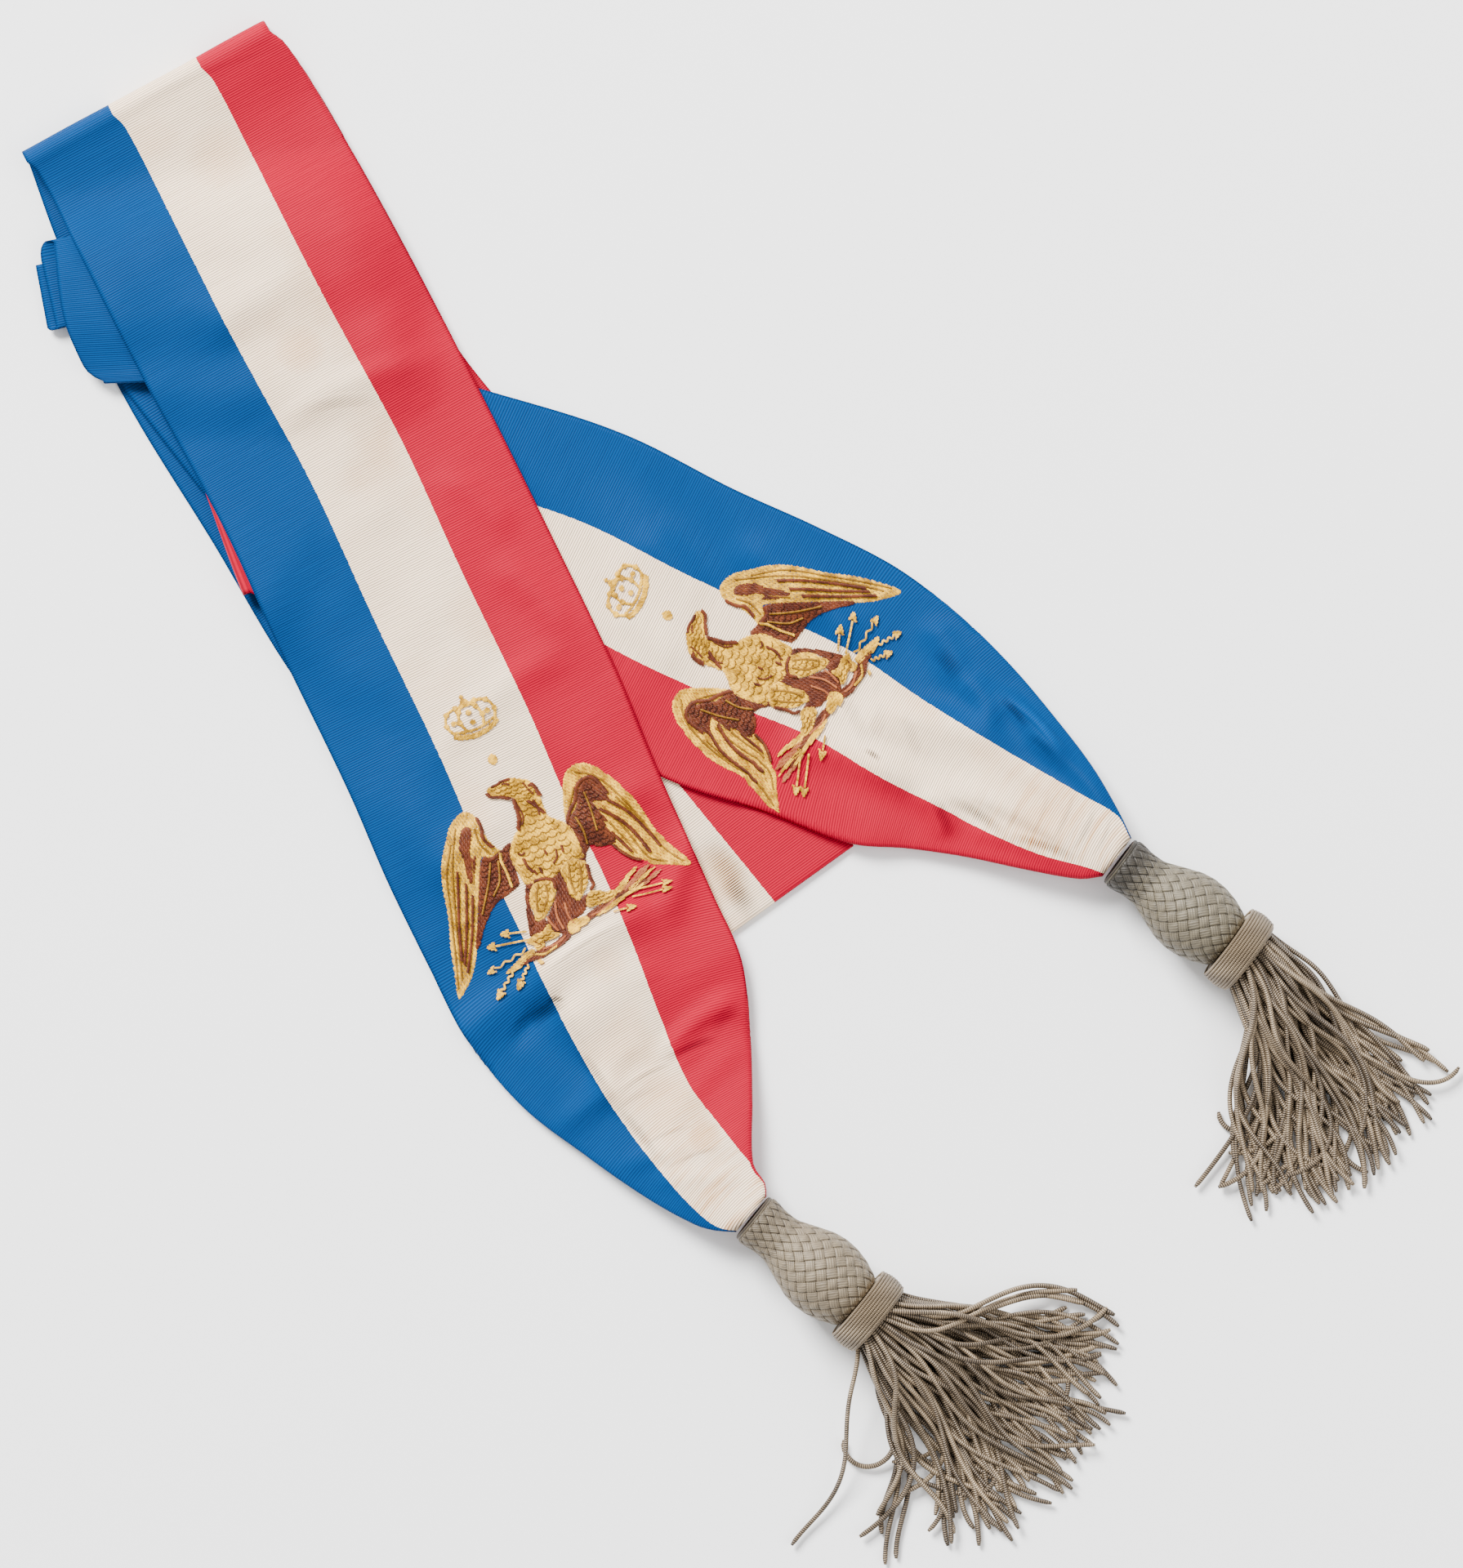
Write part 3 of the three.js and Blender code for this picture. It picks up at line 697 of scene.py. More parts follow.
def silkMaterial():
    look = silkLook
    g = Graph("silk")
    across, length = g.layer("Cloth")
    rib = (length * (tau / ribbon["rib"])).wave()
    yarn = g.noise(g.vector(across * 4.0, length * 0.5), 1.0, 1.0)
    ribYarn = g.noise(g.vector(across * 0.06, length * (1 / ribbon["rib"])), 1.0, 1.0)
    edge = across + (yarn - 0.5) * 0.5
    isWhite = (edge > ribbon["blue"]) * (edge < ribbon["blue"] + ribbon["white"])
    isRed = edge > ribbon["blue"] + ribbon["white"]
    colour = g.mix(isRed, g.mix(isWhite, look["blue"], look["white"]), look["red"])
    cloud = g.noise(g.vector(across * 0.02, length * 0.02), 1.0, 3.0)
    streaks = g.noise(g.vector(across * 0.03, length * 0.42), 1.0, 2.0)
    fromNeck = g.sum("MINIMUM", length, along[-1] - length)
    nearNeck = g.sum("MAXIMUM", 1 - fromNeck * (1 / look["pleatReach"]), 0)
    # painted shade: fine dark streaks of the pleats across the cloth near each neck
    pleats = nearNeck * g.sum("MAXIMUM", look["pleatFrom"] - streaks, 0)
    soilAndShade = g.sum("MAXIMUM", look["cloudFrom"] - cloud, 0) * look["cloudSoil"]
    soilAndShade = soilAndShade + pleats * look["pleatShadeDepth"]
    ribShade = look["ribShade"] + isWhite * look["whiteRibShade"]
    # painted shade and highlight of the ribs: darker between them, lighter on their crests
    shade = look["shade"] + (rib - 0.5) * ribShade
    shade = shade + (yarn - 0.5) * look["yarnShade"] + (ribYarn - 0.5) * look["ribYarnShade"]
    for x, y, reach, depth in stainsAndShadow:
        soilAndShade = soilAndShade + g.spot(x * mm, y * mm, reach * mm) * depth
    # soil, stains and painted shade together, on the white stripe only
    soilAndShade = soilAndShade * isWhite
    fineRelief = yarn * 0.25 + ribYarn * 0.2
    for x0, y0, x1, y1, reach, dark, rise in creaseLines:
        line = g.stroke([v * mm for v in (x0, y0, x1, y1, reach)])
        # painted shade along each crease line, or a painted highlight where that value is negative
        shade = shade - line * dark
        if rise:
            fineRelief = fineRelief + line * rise
    atSelvedge = (across < look["selvedge"]) + (across > ribbon["width"] - look["selvedge"])
    shade = shade - atSelvedge * look["selvedgeDark"]
    tint = [shade - soilAndShade * share for share in look["soilAndShadeTint"]]
    shaded = g.mix(1.0, colour, g.vector(*tint), "MULTIPLY")
    shaded = g.mix(soilAndShade * look["soilAndShadeCover"], shaded, look["dirtAndShade"])
    height = rib.power(0.7) * 0.8 + fineRelief
    bump = g.add("ShaderNodeBump", {}, {"Strength": 0.6, "Distance": look["relief"] * mm, "Height": height})
    return g.finish(**{
        "Base Color": shaded,
        "Roughness": 0.5 + (cloud - 0.5) * 0.2,
        "Normal": bump,
        "Specular IOR Level": look["sheen"],
    })


silk = silkMaterial()


# the ribs run straight across, but bend towards each neck
def ribBow(woven, places):
    near, far = ribbon["bowFrom"]
    bow = ribbon["ribBow"] * (woven - ribbon["width"] / 2) ** 2
    atStart = 1 - smooth((places - near) / (far - near))
    atEnd = 1 - smooth((along[-1] - places - near) / (far - near))
    return bow * (atStart - atEnd)[:, None]


# a closed sheet of cloth round some of the sections
def makeCloth(name, first, last, node):
    part = surface[first : last + 1, :, 0:3]
    push = normals[first : last + 1] * ribbon["thick"] / 2
    woven = surface[first : last + 1, :, 3]
    length = along[first : last + 1, None] + ribBow(woven, along[first : last + 1])
    count = part.shape[0]
    vertices = np.concatenate([(part + push).reshape(-1, 3), (part - push).reshape(-1, 3)]) * mm
    vertices[:, 2] = np.maximum(vertices[:, 2], 0)
    uv = np.stack([woven.ravel(), length.ravel()], axis=1)
    uv = np.concatenate([uv, uv])
    index = np.arange(count * columns).reshape(count, columns)
    under = index + count * columns
    faces = []
    a, b, c, d = index[:-1, :-1], index[1:, :-1], index[1:, 1:], index[:-1, 1:]
    faces.append(np.stack([a, b, c, d], axis=-1).reshape(-1, 4))
    a, b, c, d = under[:-1, :-1], under[:-1, 1:], under[1:, 1:], under[1:, :-1]
    faces.append(np.stack([a, b, c, d], axis=-1).reshape(-1, 4))
    for column, flip in ((0, False), (columns - 1, True)):
        quad = [index[:-1, column], under[:-1, column], under[1:, column], index[1:, column]]
        faces.append(np.stack(quad[::-1] if flip else quad, axis=-1))
    for row, flip in ((0, True), (count - 1, False)):
        quad = [index[row, :-1], under[row, :-1], under[row, 1:], index[row, 1:]]
        faces.append(np.stack(quad[::-1] if flip else quad, axis=-1))
    piece = makePiece(name, vertices, np.concatenate(faces).tolist(), silk, {"Cloth": uv})
    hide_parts(node)
    flatLength = (along[last] - along[first]) * mm
    held = "folded" if last < len(along) - 1 else "laid"


# the joins lie where other layers hide them from both sides
secondLayer = starts[2] + len(runs[2]["sections"]) // 2
backEnd = starts[8] + round(ribbon["backJoin"] / ribbon["step"])
makeCloth("sash_front_end", 0, secondLayer, "sash_ribbon")
makeCloth("sash_folded_middle", secondLayer, backEnd, "sash_ribbon")
makeCloth("sash_back_end", backEnd, len(along) - 1, "sash_ribbon")
print("ribbon pieces done")

# The embroidery, the same on both ends. Its places are in millimetres on the flat cloth: across from the blue
# selvedge, and along from a line that lies some way from the neck, less towards the tassel.
embroidery = {
    "ends": [
        {
            "name": "front",
            "last": False,  # whether this end is the last one of the ribbon as it is laid
            "line": 187.5,
            "shift": -0.8,
            "slant": [85, 0.045, 0],
            "lean": 0.0009,
            "seed": 3,
        },
        {
            "name": "back",
            "last": True,
            "line": 181,
            "shift": -1.6,
            "slant": [57, 0.08, 0.09],
            "lean": 0,
            "seed": 4,
        },
    ],
    "leanBelow": -30,  # the figure leans to one side below this place
    "spacing": 0.46,  # between neighbouring threads
    "stitch": 3.6,  # length of a stitch inside a patch
    "shortest": 0.8,
    "ragged": 0.45,  # how far stitches stray over an outline
    "brick": 0.382,  # shift of the stitches from one row to the next, as a share of their length
    "height": 0.3,
    "breadth": 1.1,  # a factor on the half width of every thread
    "edgeLift": 0.12,  # height of a thread's sides over the cloth
    "sunk": -0.1,  # and at its two ends
    "ropeStep": 0.42,
    "ropeSlant": 0.35,
    "featherRow": 0.8,  # sizes of a feather, as shares of the size that its patch has
    "featherWide": 0.6,
    "featherHigh": 0.55,
    "featherGap": (1.05, 1.35),
    "arrowHead": 3.4,
    "arrowBarb": 1.5,
    "arrowNotch": 0.6,
    "arrowBends": 6,
    "arrowSwing": 0.7,
    "pearl": 0.9,
    "orb": 1.3,
    "layer": 0.28,  # each layer of stitches lies this much over the one under it
    "crownPlace": (54.5, 22.5),
    "lozengePlace": (55.5, 12.5),
    "lozengeSize": (1.7, 2.2),
}
# Sections of one stitch: share of its length, rise of its middle and breadth
stitchSections = [(0, -0.15, 0.6), (0.12, 0.7, 1), (0.5, 1, 1), (0.88, 0.7, 1), (1, -0.15, 0.6)]
# The eagle's outlines were given in pixels, on an enlargement of the front end. This is how that
# enlargement lies on the flat cloth.
tracing = {
    "corner": (160, 610),  # a pixel on the line between the blue and the white stripe
    "across": 37,  # and how far that line is from the blue selvedge, in millimetres
    # 360 pixels of the photograph are enlarged to 1377, and the ribbon spans 357 of them
    "scale": 360 / 1377 * ribbon["width"] / 357,
    "turn": 24.06,  # degrees from the enlargement to the cloth
    "grain": 2,  # places are rounded to half a millimetre
}
# Patches of satin stitch on the tracing: name, thread, direction of the stitches in degrees, layer, outline
eaglePatches = [
    ["left wing", "gold", 70, 0, [
        (150, 640), (190, 626), (232, 645), (262, 705), (290, 750), (330, 790), (350, 805), (300, 838),
        (262, 832), (250, 900), (245, 1000), (240, 1150), (236, 1280), (215, 1390), (165, 1494),
        (140, 1390), (118, 1260), (104, 1130), (82, 1000), (80, 880), (95, 760), (115, 690),
    ]],
    ["left wing shade", "brown", 75, 1, [
        (350, 806), (392, 768), (392, 830), (410, 880), (430, 960), (378, 1012), (332, 1040),
        (300, 1092), (268, 1176), (250, 1240), (234, 1250), (240, 1130), (246, 1000), (252, 900),
        (264, 834), (302, 838),
    ]],
    ["left wing slot", "brown", 80, 1, [
        (172, 706), (204, 700), (212, 745), (206, 800), (216, 846), (232, 830), (228, 900), (208, 960),
        (186, 900), (178, 850), (160, 790),
    ]],
    ["right wing", "gold", 40, 0, [
        (655, 670), (640, 560), (645, 450), (668, 412), (720, 390), (780, 400), (840, 438), (900, 488),
        (960, 545), (1010, 610), (1060, 690), (1110, 750), (1170, 800), (1242, 868), (1210, 880),
        (1130, 872), (1060, 868), (1020, 848), (960, 830), (905, 805), (862, 768), (850, 700),
        (760, 690), (690, 690),
    ]],
    ["right wing shade", "brown", 55, 1, [
        (655, 668), (700, 600), (708, 520), (742, 462), (800, 478), (832, 524), (850, 558), (780, 566),
        (806, 612), (846, 655), (826, 662), (850, 712), (876, 738), (860, 768), (802, 782), (762, 770),
        (740, 810), (735, 855), (712, 850), (720, 800), (700, 742), (676, 705),
    ]],
    ["tail", "brown", 80, 1, [
        (600, 900), (640, 860), (650, 960), (700, 1035), (745, 1010), (740, 1080), (700, 1120),
        (672, 1160), (660, 1192), (600, 1185), (560, 1160), (570, 1090), (596, 1030), (604, 980),
        (580, 940),
    ]],
    ["body", "gold", 60, 1, [
        (430, 700), (440, 660), (470, 610), (540, 590), (565, 630), (600, 650), (650, 668), (680, 700),
        (702, 745), (722, 800), (730, 835), (690, 838), (650, 858), (622, 890), (590, 930), (540, 935),
        (500, 955), (460, 962), (436, 925), (408, 880), (392, 820), (400, 770), (415, 730),
    ]],
    ["neck", "gold", 50, 1, [
        (440, 690), (432, 640), (420, 590), (412, 556), (440, 510), (500, 500), (532, 545), (548, 592),
        (560, 625), (520, 640), (480, 660),
    ]],
    ["head", "gold", 20, 2, [
        (285, 528), (300, 505), (330, 495), (345, 478), (385, 464), (430, 464), (470, 474), (500, 490),
        (515, 520), (470, 545), (415, 560), (400, 550), (350, 546), (310, 548),
    ]],
    ["left thigh", "gold", 75, 2, [
        (486, 985), (505, 950), (545, 936), (580, 948), (598, 985), (590, 1030), (570, 1080),
        (545, 1115), (515, 1130), (494, 1090), (480, 1035),
    ]],
    ["left thigh shade", "brown", 80, 1, [
        (470, 962), (500, 952), (484, 990), (480, 1035), (494, 1095), (515, 1135), (500, 1190),
        (482, 1196), (474, 1130), (462, 1080), (458, 1010),
    ]],
    ["right thigh", "gold", 75, 2, [
        (622, 900), (636, 866), (668, 842), (712, 848), (742, 870), (748, 930), (745, 970), (722, 1012),
        (700, 1034), (665, 1005), (642, 950),
    ]],
    ["left foot", "gold", 15, 3, [
        (470, 1230), (500, 1200), (545, 1178), (570, 1150), (590, 1180), (620, 1190), (600, 1215),
        (560, 1225), (552, 1258), (520, 1270), (505, 1240),
    ]],
    ["left leg rays", "brown", 75, 2, [
        (500, 1190), (520, 1140), (548, 1120), (556, 1165), (545, 1180), (515, 1196),
    ]],
    ["right foot", "gold", 0, 3, [
        (755, 1000), (790, 990), (830, 1000), (868, 990), (880, 1010), (850, 1040), (800, 1060),
        (760, 1070), (745, 1050),
    ]],
    ["bolt left", "gold", -30, 2, [
        (384, 1372), (420, 1330), (470, 1275), (500, 1262), (515, 1290), (480, 1320), (450, 1355),
        (400, 1380),
    ]],
    ["bolt left shade", "brown", -35, 2, [
        (450, 1340), (500, 1290), (540, 1262), (600, 1240), (650, 1190), (690, 1196), (660, 1240),
        (610, 1282), (560, 1312), (500, 1325), (452, 1352),
    ]],
    ["bolt middle", "gold", -25, 3, [
        (664, 1180), (670, 1140), (700, 1122), (745, 1120), (765, 1140), (735, 1170), (715, 1172),
        (722, 1190), (690, 1205),
    ]],
    ["bolt right shade", "brown", -35, 2, [
        (745, 1110), (790, 1070), (830, 1050), (870, 1030), (860, 1060), (820, 1100), (770, 1135),
        (745, 1130),
    ]],
    ["bolt right", "gold", -35, 3, [
        (800, 1110), (835, 1075), (900, 1025), (960, 985), (1010, 955), (1000, 975), (930, 1030),
        (870, 1080), (820, 1112),
    ]],
    ["bolt right tip", "brown", -35, 2, [
        (880, 1010), (930, 990), (985, 950), (1030, 940), (1020, 965), (950, 1000), (900, 1040),
        (870, 1050),
    ]],
    ["bolt flames one", "gold", -45, 2, [
        (880, 985), (905, 950), (940, 900), (975, 878), (965, 905), (940, 935), (920, 975), (890, 1005),
    ]],
    ["bolt flames two", "orange", -45, 2, [
        (905, 985), (950, 935), (1000, 890), (1040, 872), (1015, 905), (975, 945), (930, 990),
    ]],
    ["bolt flames three", "gold", -38, 2, [
        (940, 985), (985, 945), (1035, 900), (1068, 882), (1045, 910), (1000, 950), (955, 990),
    ]],
    ["bolt flames four", "orange", -30, 2, [
        (960, 990), (1010, 958), (1060, 918), (1100, 900), (1070, 928), (1020, 965), (975, 1000),
    ]],
]
# Lines of short stitches along the tracing: thread, width, layer, points
tracedLines = [
    ["brown", 1.0, 3, [(146, 900), (156, 1150), (168, 1320)]],
    ["brown", 1.0, 3, [(186, 960), (192, 1150), (185, 1330)]],
    ["brown", 1.0, 3, [(216, 1010), (216, 1180), (201, 1370)]],
    ["brown", 1.3, 3, [(236, 650), (262, 700), (268, 742), (312, 785)]],
    ["brown", 1.1, 3, [(846, 556), (935, 612), (1035, 710), (1093, 780)]],
    ["brown", 1.3, 3, [(805, 598), (880, 635), (940, 680), (982, 728), (1045, 815)]],
    ["brown", 1.0, 3, [(858, 705), (920, 770), (955, 803)]],
    ["brown", 1.1, 3, [(862, 772), (905, 806), (955, 832), (998, 845)]],
    ["brown", 1.2, 3, [(284, 534), (303, 551), (350, 552), (398, 557)]],
    ["brown", 1.0, 3, [(302, 508), (333, 494), (348, 478), (386, 465)]],
    ["brown", 1.6, 3, [(480, 488), (505, 500), (532, 540)]],
    ["brown", 1.2, 3, [(474, 562), (510, 592), (556, 626)]],
    ["brown", 1.6, 3, [(411, 558), (424, 600), (433, 645), (430, 698)]],
    ["brown", 1.0, 3, [(454, 842), (472, 875), (496, 904)]],
    ["brown", 0.9, 3, [(627, 776), (634, 808)]],
    ["brown", 0.9, 3, [(524, 880), (540, 908)]],
    ["brown", 1.2, 3, [(500, 950), (545, 932), (588, 945), (600, 985)]],
    ["brown", 1.3, 3, [(746, 868), (756, 930), (770, 962), (756, 990)]],
]
# More lines of short stitches, in millimetres on the cloth
eagleLines = [
    ["ochre", 0.6, 1, [(28.5, -11), (22, -21.5), (17, -37), (9.5, -61)]],
    ["ochre", 0.6, 1, [(32.5, -6), (25, -20), (18.5, -37.5), (12, -58.5)]],
    ["ochre", 0.6, 1, [(39, -9), (38.5, -14.5), (40.5, -20)]],
    ["ochre", 0.6, 1, [(33, -20), (30, -28)]],
    ["ochre", 0.6, 1, [(82, -4), (88, -8), (93, -17), (97.5, -30.5), (100.5, -43.5), (105.5, -52.5)]],
    ["ochre", 0.6, 1, [(79.5, -9.5), (74.5, -16)]],
    ["ochre", 0.6, 1, [(86.5, -20), (90.5, -32), (94, -45), (100, -50)]],
    ["ochre", 0.6, 1, [(86, -26.5), (88.5, -34.5), (90.5, -42)]],
    ["ochre", 0.6, 1, [(92.5, -19), (96.5, -29.5), (100, -41.5)]],
    ["brown", 1.4, 2, [(80.5, -9.5), (83, -8), (86.5, -8), (88.5, -10.5), (90, -16.5)]],
    ["brown", 1.4, 2, [(71.5, -20.5), (74.5, -17), (78, -14), (80.5, -9.5)]],
    ["brown", 1.4, 2, [(37, -20.5), (39.5, -22), (44, -21)]],
    ["gold", 0.9, 3, [(44, -21), (43, -24), (43, -28.5), (42.5, -34.5)]],
    ["ochre", 0.6, 3, [(39, -23), (35, -30), (28.5, -39.5)]],
    ["ochre", 0.6, 3, [(42, -23.5), (39, -31), (35, -35)]],
    ["ochre", 0.6, 3, [(82.5, -12.5), (82, -19.5), (80.5, -27.5)]],
    ["ochre", 0.6, 3, [(75.5, -20), (76, -25.5), (75, -31)]],
    ["brown", 0.7, 3, [(50, -24), (51, -25), (52.5, -24.5)]],
    ["brown", 0.7, 3, [(59.5, -26.5), (59.5, -28.5)]],
    ["brown", 0.7, 3, [(63.5, -28), (62.5, -31), (60.5, -32.5)]],
    ["brown", 0.7, 3, [(52.5, -32), (53, -34)]],
    ["brown", 0.8, 3, [(55, 2.5), (56.5, 2), (57.5, 1)]],
    ["brown", 0.6, 3, [(62.5, 0), (63.5, -3.5), (64.5, -5.5)]],
    ["brown", 0.6, 3, [(57.5, -7.5), (57.5, -12), (56, -14.5)]],
    ["brown", 0.6, 3, [(63.5, -7.5), (64, -10.5), (63.5, -13.5)]],
    ["ochre", 0.7, 3, [(52, -37.5), (49.5, -41.5), (47.5, -47)]],
    ["ochre", 0.7, 3, [(54.5, -38.5), (53, -43.5), (50, -47)]],
    ["ochre", 0.7, 3, [(65.5, -35), (63.5, -41), (63, -47)]],
    ["ochre", 0.7, 3, [(69, -36.5), (67.5, -42), (65, -47)]],
    ["orange", 0.8, 3, [(55, -46), (53.5, -51.5), (54, -57)]],
    ["orange", 0.8, 3, [(58, -48), (57.5, -53), (58.5, -57)]],
    ["orange", 0.8, 3, [(50, -50), (50.5, -53), (52, -57)]],
    ["orange", 0.9, 3, [(44.5, -61.5), (50, -62), (54, -60.5)]],
    ["orange", 0.9, 3, [(65.5, -57), (70, -57), (76, -54.5)]],
    ["gold", 0.9, 3, [(41, -62), (44.5, -64), (49.5, -63)]],
    ["gold", 1.2, 3, [(41.5, -65.5), (42.5, -67)]],
    ["brown", 0.8, 3, [(42, -56), (43.5, -58.5), (46, -58.5)]],
    ["brown", 0.8, 3, [(70, -51), (71.5, -53.5), (75, -53)]],
]
# Patches that are covered with small feathers, and the size of those
feathered = {
    "body": 3.2,
    "neck": 2.4,
    "head": 2.0,
    "left thigh": 2.6,
    "right thigh": 2.6,
    "left wing shade": 2.4,
    "right wing shade": 2.4,
    "left thigh shade": 2.0,
    "left foot": 2.0,
    "right foot": 2.0,
}
# Arrows of lightning on the tracing: tail, tip, and whether the shaft is a zigzag
eagleArrows = [
    [(470, 1180), (345, 1192), False],
    [(480, 1218), (285, 1252), False],
    [(470, 1262), (290, 1372), True],
    [(420, 1375), (350, 1500), True],
    [(495, 1345), (443, 1458), True],
    [(950, 990), (1155, 960), False],
    [(960, 1025), (1155, 1003), False],
    [(880, 1105), (985, 1085), False],
]
# The crown, from the middle of its band: arches as lines, pearls as points, and two bands
crownArches = [
    [(-8.2, 4.2), (-9.6, 8), (-8, 12), (-4, 13.2), (0, 12.6)],
    [(-3.2, 3.2), (-4.5, 7.6), (-3.4, 11.2), (-1.4, 13), (0, 12.6)],
    [(3.2, 3.2), (4.5, 7.6), (3.4, 11.2), (1.4, 13), (0, 12.6)],
    [(8.2, 4.2), (9.6, 8), (8, 12), (4, 13.2), (0, 12.6)],
]
crownPearls = [(0, 6), (0, 9.8), (-6.7, 8), (6.7, 8)]
crownOrb = (0, 14)
crownCross = [[(0, 15), (0, 17.4)], [(-0.9, 16.4), (0.9, 16.4)]]
crownBands = [
    [
        (-8.6, 2.4), (-4.5, 0.6), (0, 0), (4.5, 0.6), (8.6, 2.4),
        (8.2, 4), (4.4, 2.4), (0, 1.8), (-4.4, 2.4), (-8.2, 4),
    ],
    [
        (-8.2, 4.6), (-4.4, 3.2), (0, 2.7), (4.4, 3.2), (8.2, 4.6),
        (8.2, 5.2), (4.4, 4), (0, 3.4), (-4.4, 4), (-8.2, 5.2),
    ],
]


# places on the flat cloth of pixels of the tracing
def fromTracing(pixels):
    turn = math.radians(tracing["turn"])
    cosine, sine = math.cos(turn), math.sin(turn)
    places = []
    for x, y in pixels:
        east, south = x - tracing["corner"][0], y - tracing["corner"][1]
        across = tracing["across"] + (east * cosine - south * sine) * tracing["scale"]
        down = -(east * sine + south * cosine) * tracing["scale"]
        places.append(tuple(round(v * tracing["grain"]) / tracing["grain"] for v in (across, down)))
    return places


# a direction of stitches on the tracing as one on the cloth, in whole degrees from -90 to 90
def directionFromTracing(degrees):
    return round((90 - degrees - tracing["turn"]) % 180 - 90)


# the place and the normal of the top of the cloth, for places across it and along the whole sash
def onCloth(across, place):
    row = np.interp(place, along, np.arange(len(along)))
    low = np.clip(row.astype(int), 0, len(along) - 2)
    share = (row - low)[:, None]
    found = []
    for offset in (0, 1):
        part = np.empty((len(across), 6))
        for r in np.unique(low + offset):
            chosen = low + offset == r
            woven = surface[r, :, 3]
            for k in range(3):
                part[chosen, k] = np.interp(across[chosen], woven, surface[r, :, k])
                part[chosen, k + 3] = np.interp(across[chosen], woven, normals[r, :, k])
        found.append(part)
    both = found[0] * (1 - share) + found[1] * share
    up = -both[:, 3:6]
    return both[:, 0:3] + up * ribbon["thick"] / 2, up


# gathers stitches in the flat frame of one motif, and makes them as raised threads on the cloth
class Stitches:
    def __init__(self, end):
        self.end = end
        self.rng = random.Random(end["seed"])
        self.rows = {thread: [] for thread in threads}

    def stitch(self, thread, start, finish, layer, wide=0.25):
        self.rows[thread].append((*start, *finish, layer * embroidery["layer"], wide, self.rng.random()))

    # satin stitch: rows of stitches in one direction, laid like bricks and cut off at an outline
    def patch(self, thread, degrees, layer, outline):
        e = embroidery
        turn = np.array([math.cos(math.radians(degrees)), math.sin(math.radians(degrees))])
        away = np.array([-turn[1], turn[0]])
        points = np.asarray(outline, dtype=float)
        closed = np.concatenate([points[-1:], points, points[:2]])
        outline = curveThrough(closed, np.arange(len(closed)), np.arange(1, len(closed) - 2, 0.25))
        down, over = outline @ turn, outline @ away
        nextDown, nextOver = np.roll(down, -1), np.roll(over, -1)
        line = over.min() + e["spacing"] * 0.5
        count = 0
        while line < over.max():
            crossed = (over > line) != (nextOver > line)
            share = (line - over[crossed]) / (nextOver[crossed] - over[crossed])
            hits = np.sort(down[crossed] + share * (nextDown[crossed] - down[crossed]))
            for first, final in zip(hits[::2], hits[1::2]):
                first -= self.rng.uniform(0, e["ragged"])
                final += self.rng.uniform(0, e["ragged"])
                brick = e["stitch"] * ((count * e["brick"]) % 1.0)
                cuts = [first]
                while True:
                    cut = brick + e["stitch"] * math.ceil((cuts[-1] + e["shortest"] - brick) / e["stitch"])
                    if cut >= final - e["shortest"]:
                        break
                    cuts.append(cut)
                cuts.append(final)
                for a, b in zip(cuts[:-1], cuts[1:]):
                    self.stitch(thread, a * turn + line * away, b * turn + line * away, layer)
            line += e["spacing"]
            count += 1

    # short slanted stitches side by side along a line
    def rope(self, thread, width, layer, points):
        points = np.asarray(points, dtype=float)
        lengths = np.concatenate([[0], np.cumsum(np.linalg.norm(np.diff(points, axis=0), axis=1))])
        places = np.arange(0.2, lengths[-1], embroidery["ropeStep"])
        path = curveThrough(points, lengths, places) if len(places) else []
        for k in range(len(path)):
            ahead = path[min(k + 1, len(path) - 1)] - path[max(k - 1, 0)]
            ahead /= max(np.linalg.norm(ahead), 1e-9)
            across = np.array([-ahead[1], ahead[0]]) * width / 2 * self.rng.uniform(0.7, 1.3)
            slant = ahead * width * embroidery["ropeSlant"]
            self.stitch(thread, path[k] - across - slant, path[k] + across + slant, layer)

    # rows of small curved stitches inside an outline, like feathers
    def feathers(self, thread, layer, outline, size):
        e = embroidery
        points = np.array(outline, dtype=float)
        low, high = points.min(axis=0), points.max(axis=0)
        bends = np.linspace(-1.2, 1.2, 5)
        wide, tall = size * e["featherWide"], size * e["featherHigh"]
        for row in range(int((high[1] - low[1]) / (size * e["featherRow"]))):
            x = low[0] + (row % 2) * wide
            y = high[1] - size * e["featherRow"] * (row + 0.6)
            while x < high[0]:
                arc = np.column_stack([x + wide * np.sin(bends), y - tall * np.cos(bends)])
                if distanceOutside(arc, points).max() == 0:
                    self.strand(thread, arc, layer, 0.2)
                x += size * self.rng.uniform(*e["featherGap"])

    # long stitches from point to point
    def strand(self, thread, points, layer, wide):
        for a, b in zip(points[:-1], points[1:]):
            self.stitch(thread, np.array(a, dtype=float), np.array(b, dtype=float), layer, wide)

    # a shaft and a barbed head
    def arrow(self, tail, tip, zigzag):
        tail, tip = np.array(tail, dtype=float), np.array(tip, dtype=float)
        ahead = (tip - tail) / np.linalg.norm(tip - tail)
        across = np.array([-ahead[1], ahead[0]])
        e = embroidery
        base = tip - e["arrowHead"] * ahead
        bends = e["arrowBends"]
        path = [tail + (base - tail) * k / bends for k in range(bends + 1)]
        if zigzag:
            swing = e["arrowSwing"] * across
            path = [p + (swing if k % 2 else -swing) for k, p in enumerate(path)]
        self.strand("gold", path, 3, 0.34)
        barb, notch = e["arrowBarb"] * across, e["arrowNotch"] * ahead
        head = [tip, base + barb, base + notch, base - barb]
        self.patch("gold", math.degrees(math.atan2(ahead[1], ahead[0])), 3, head)

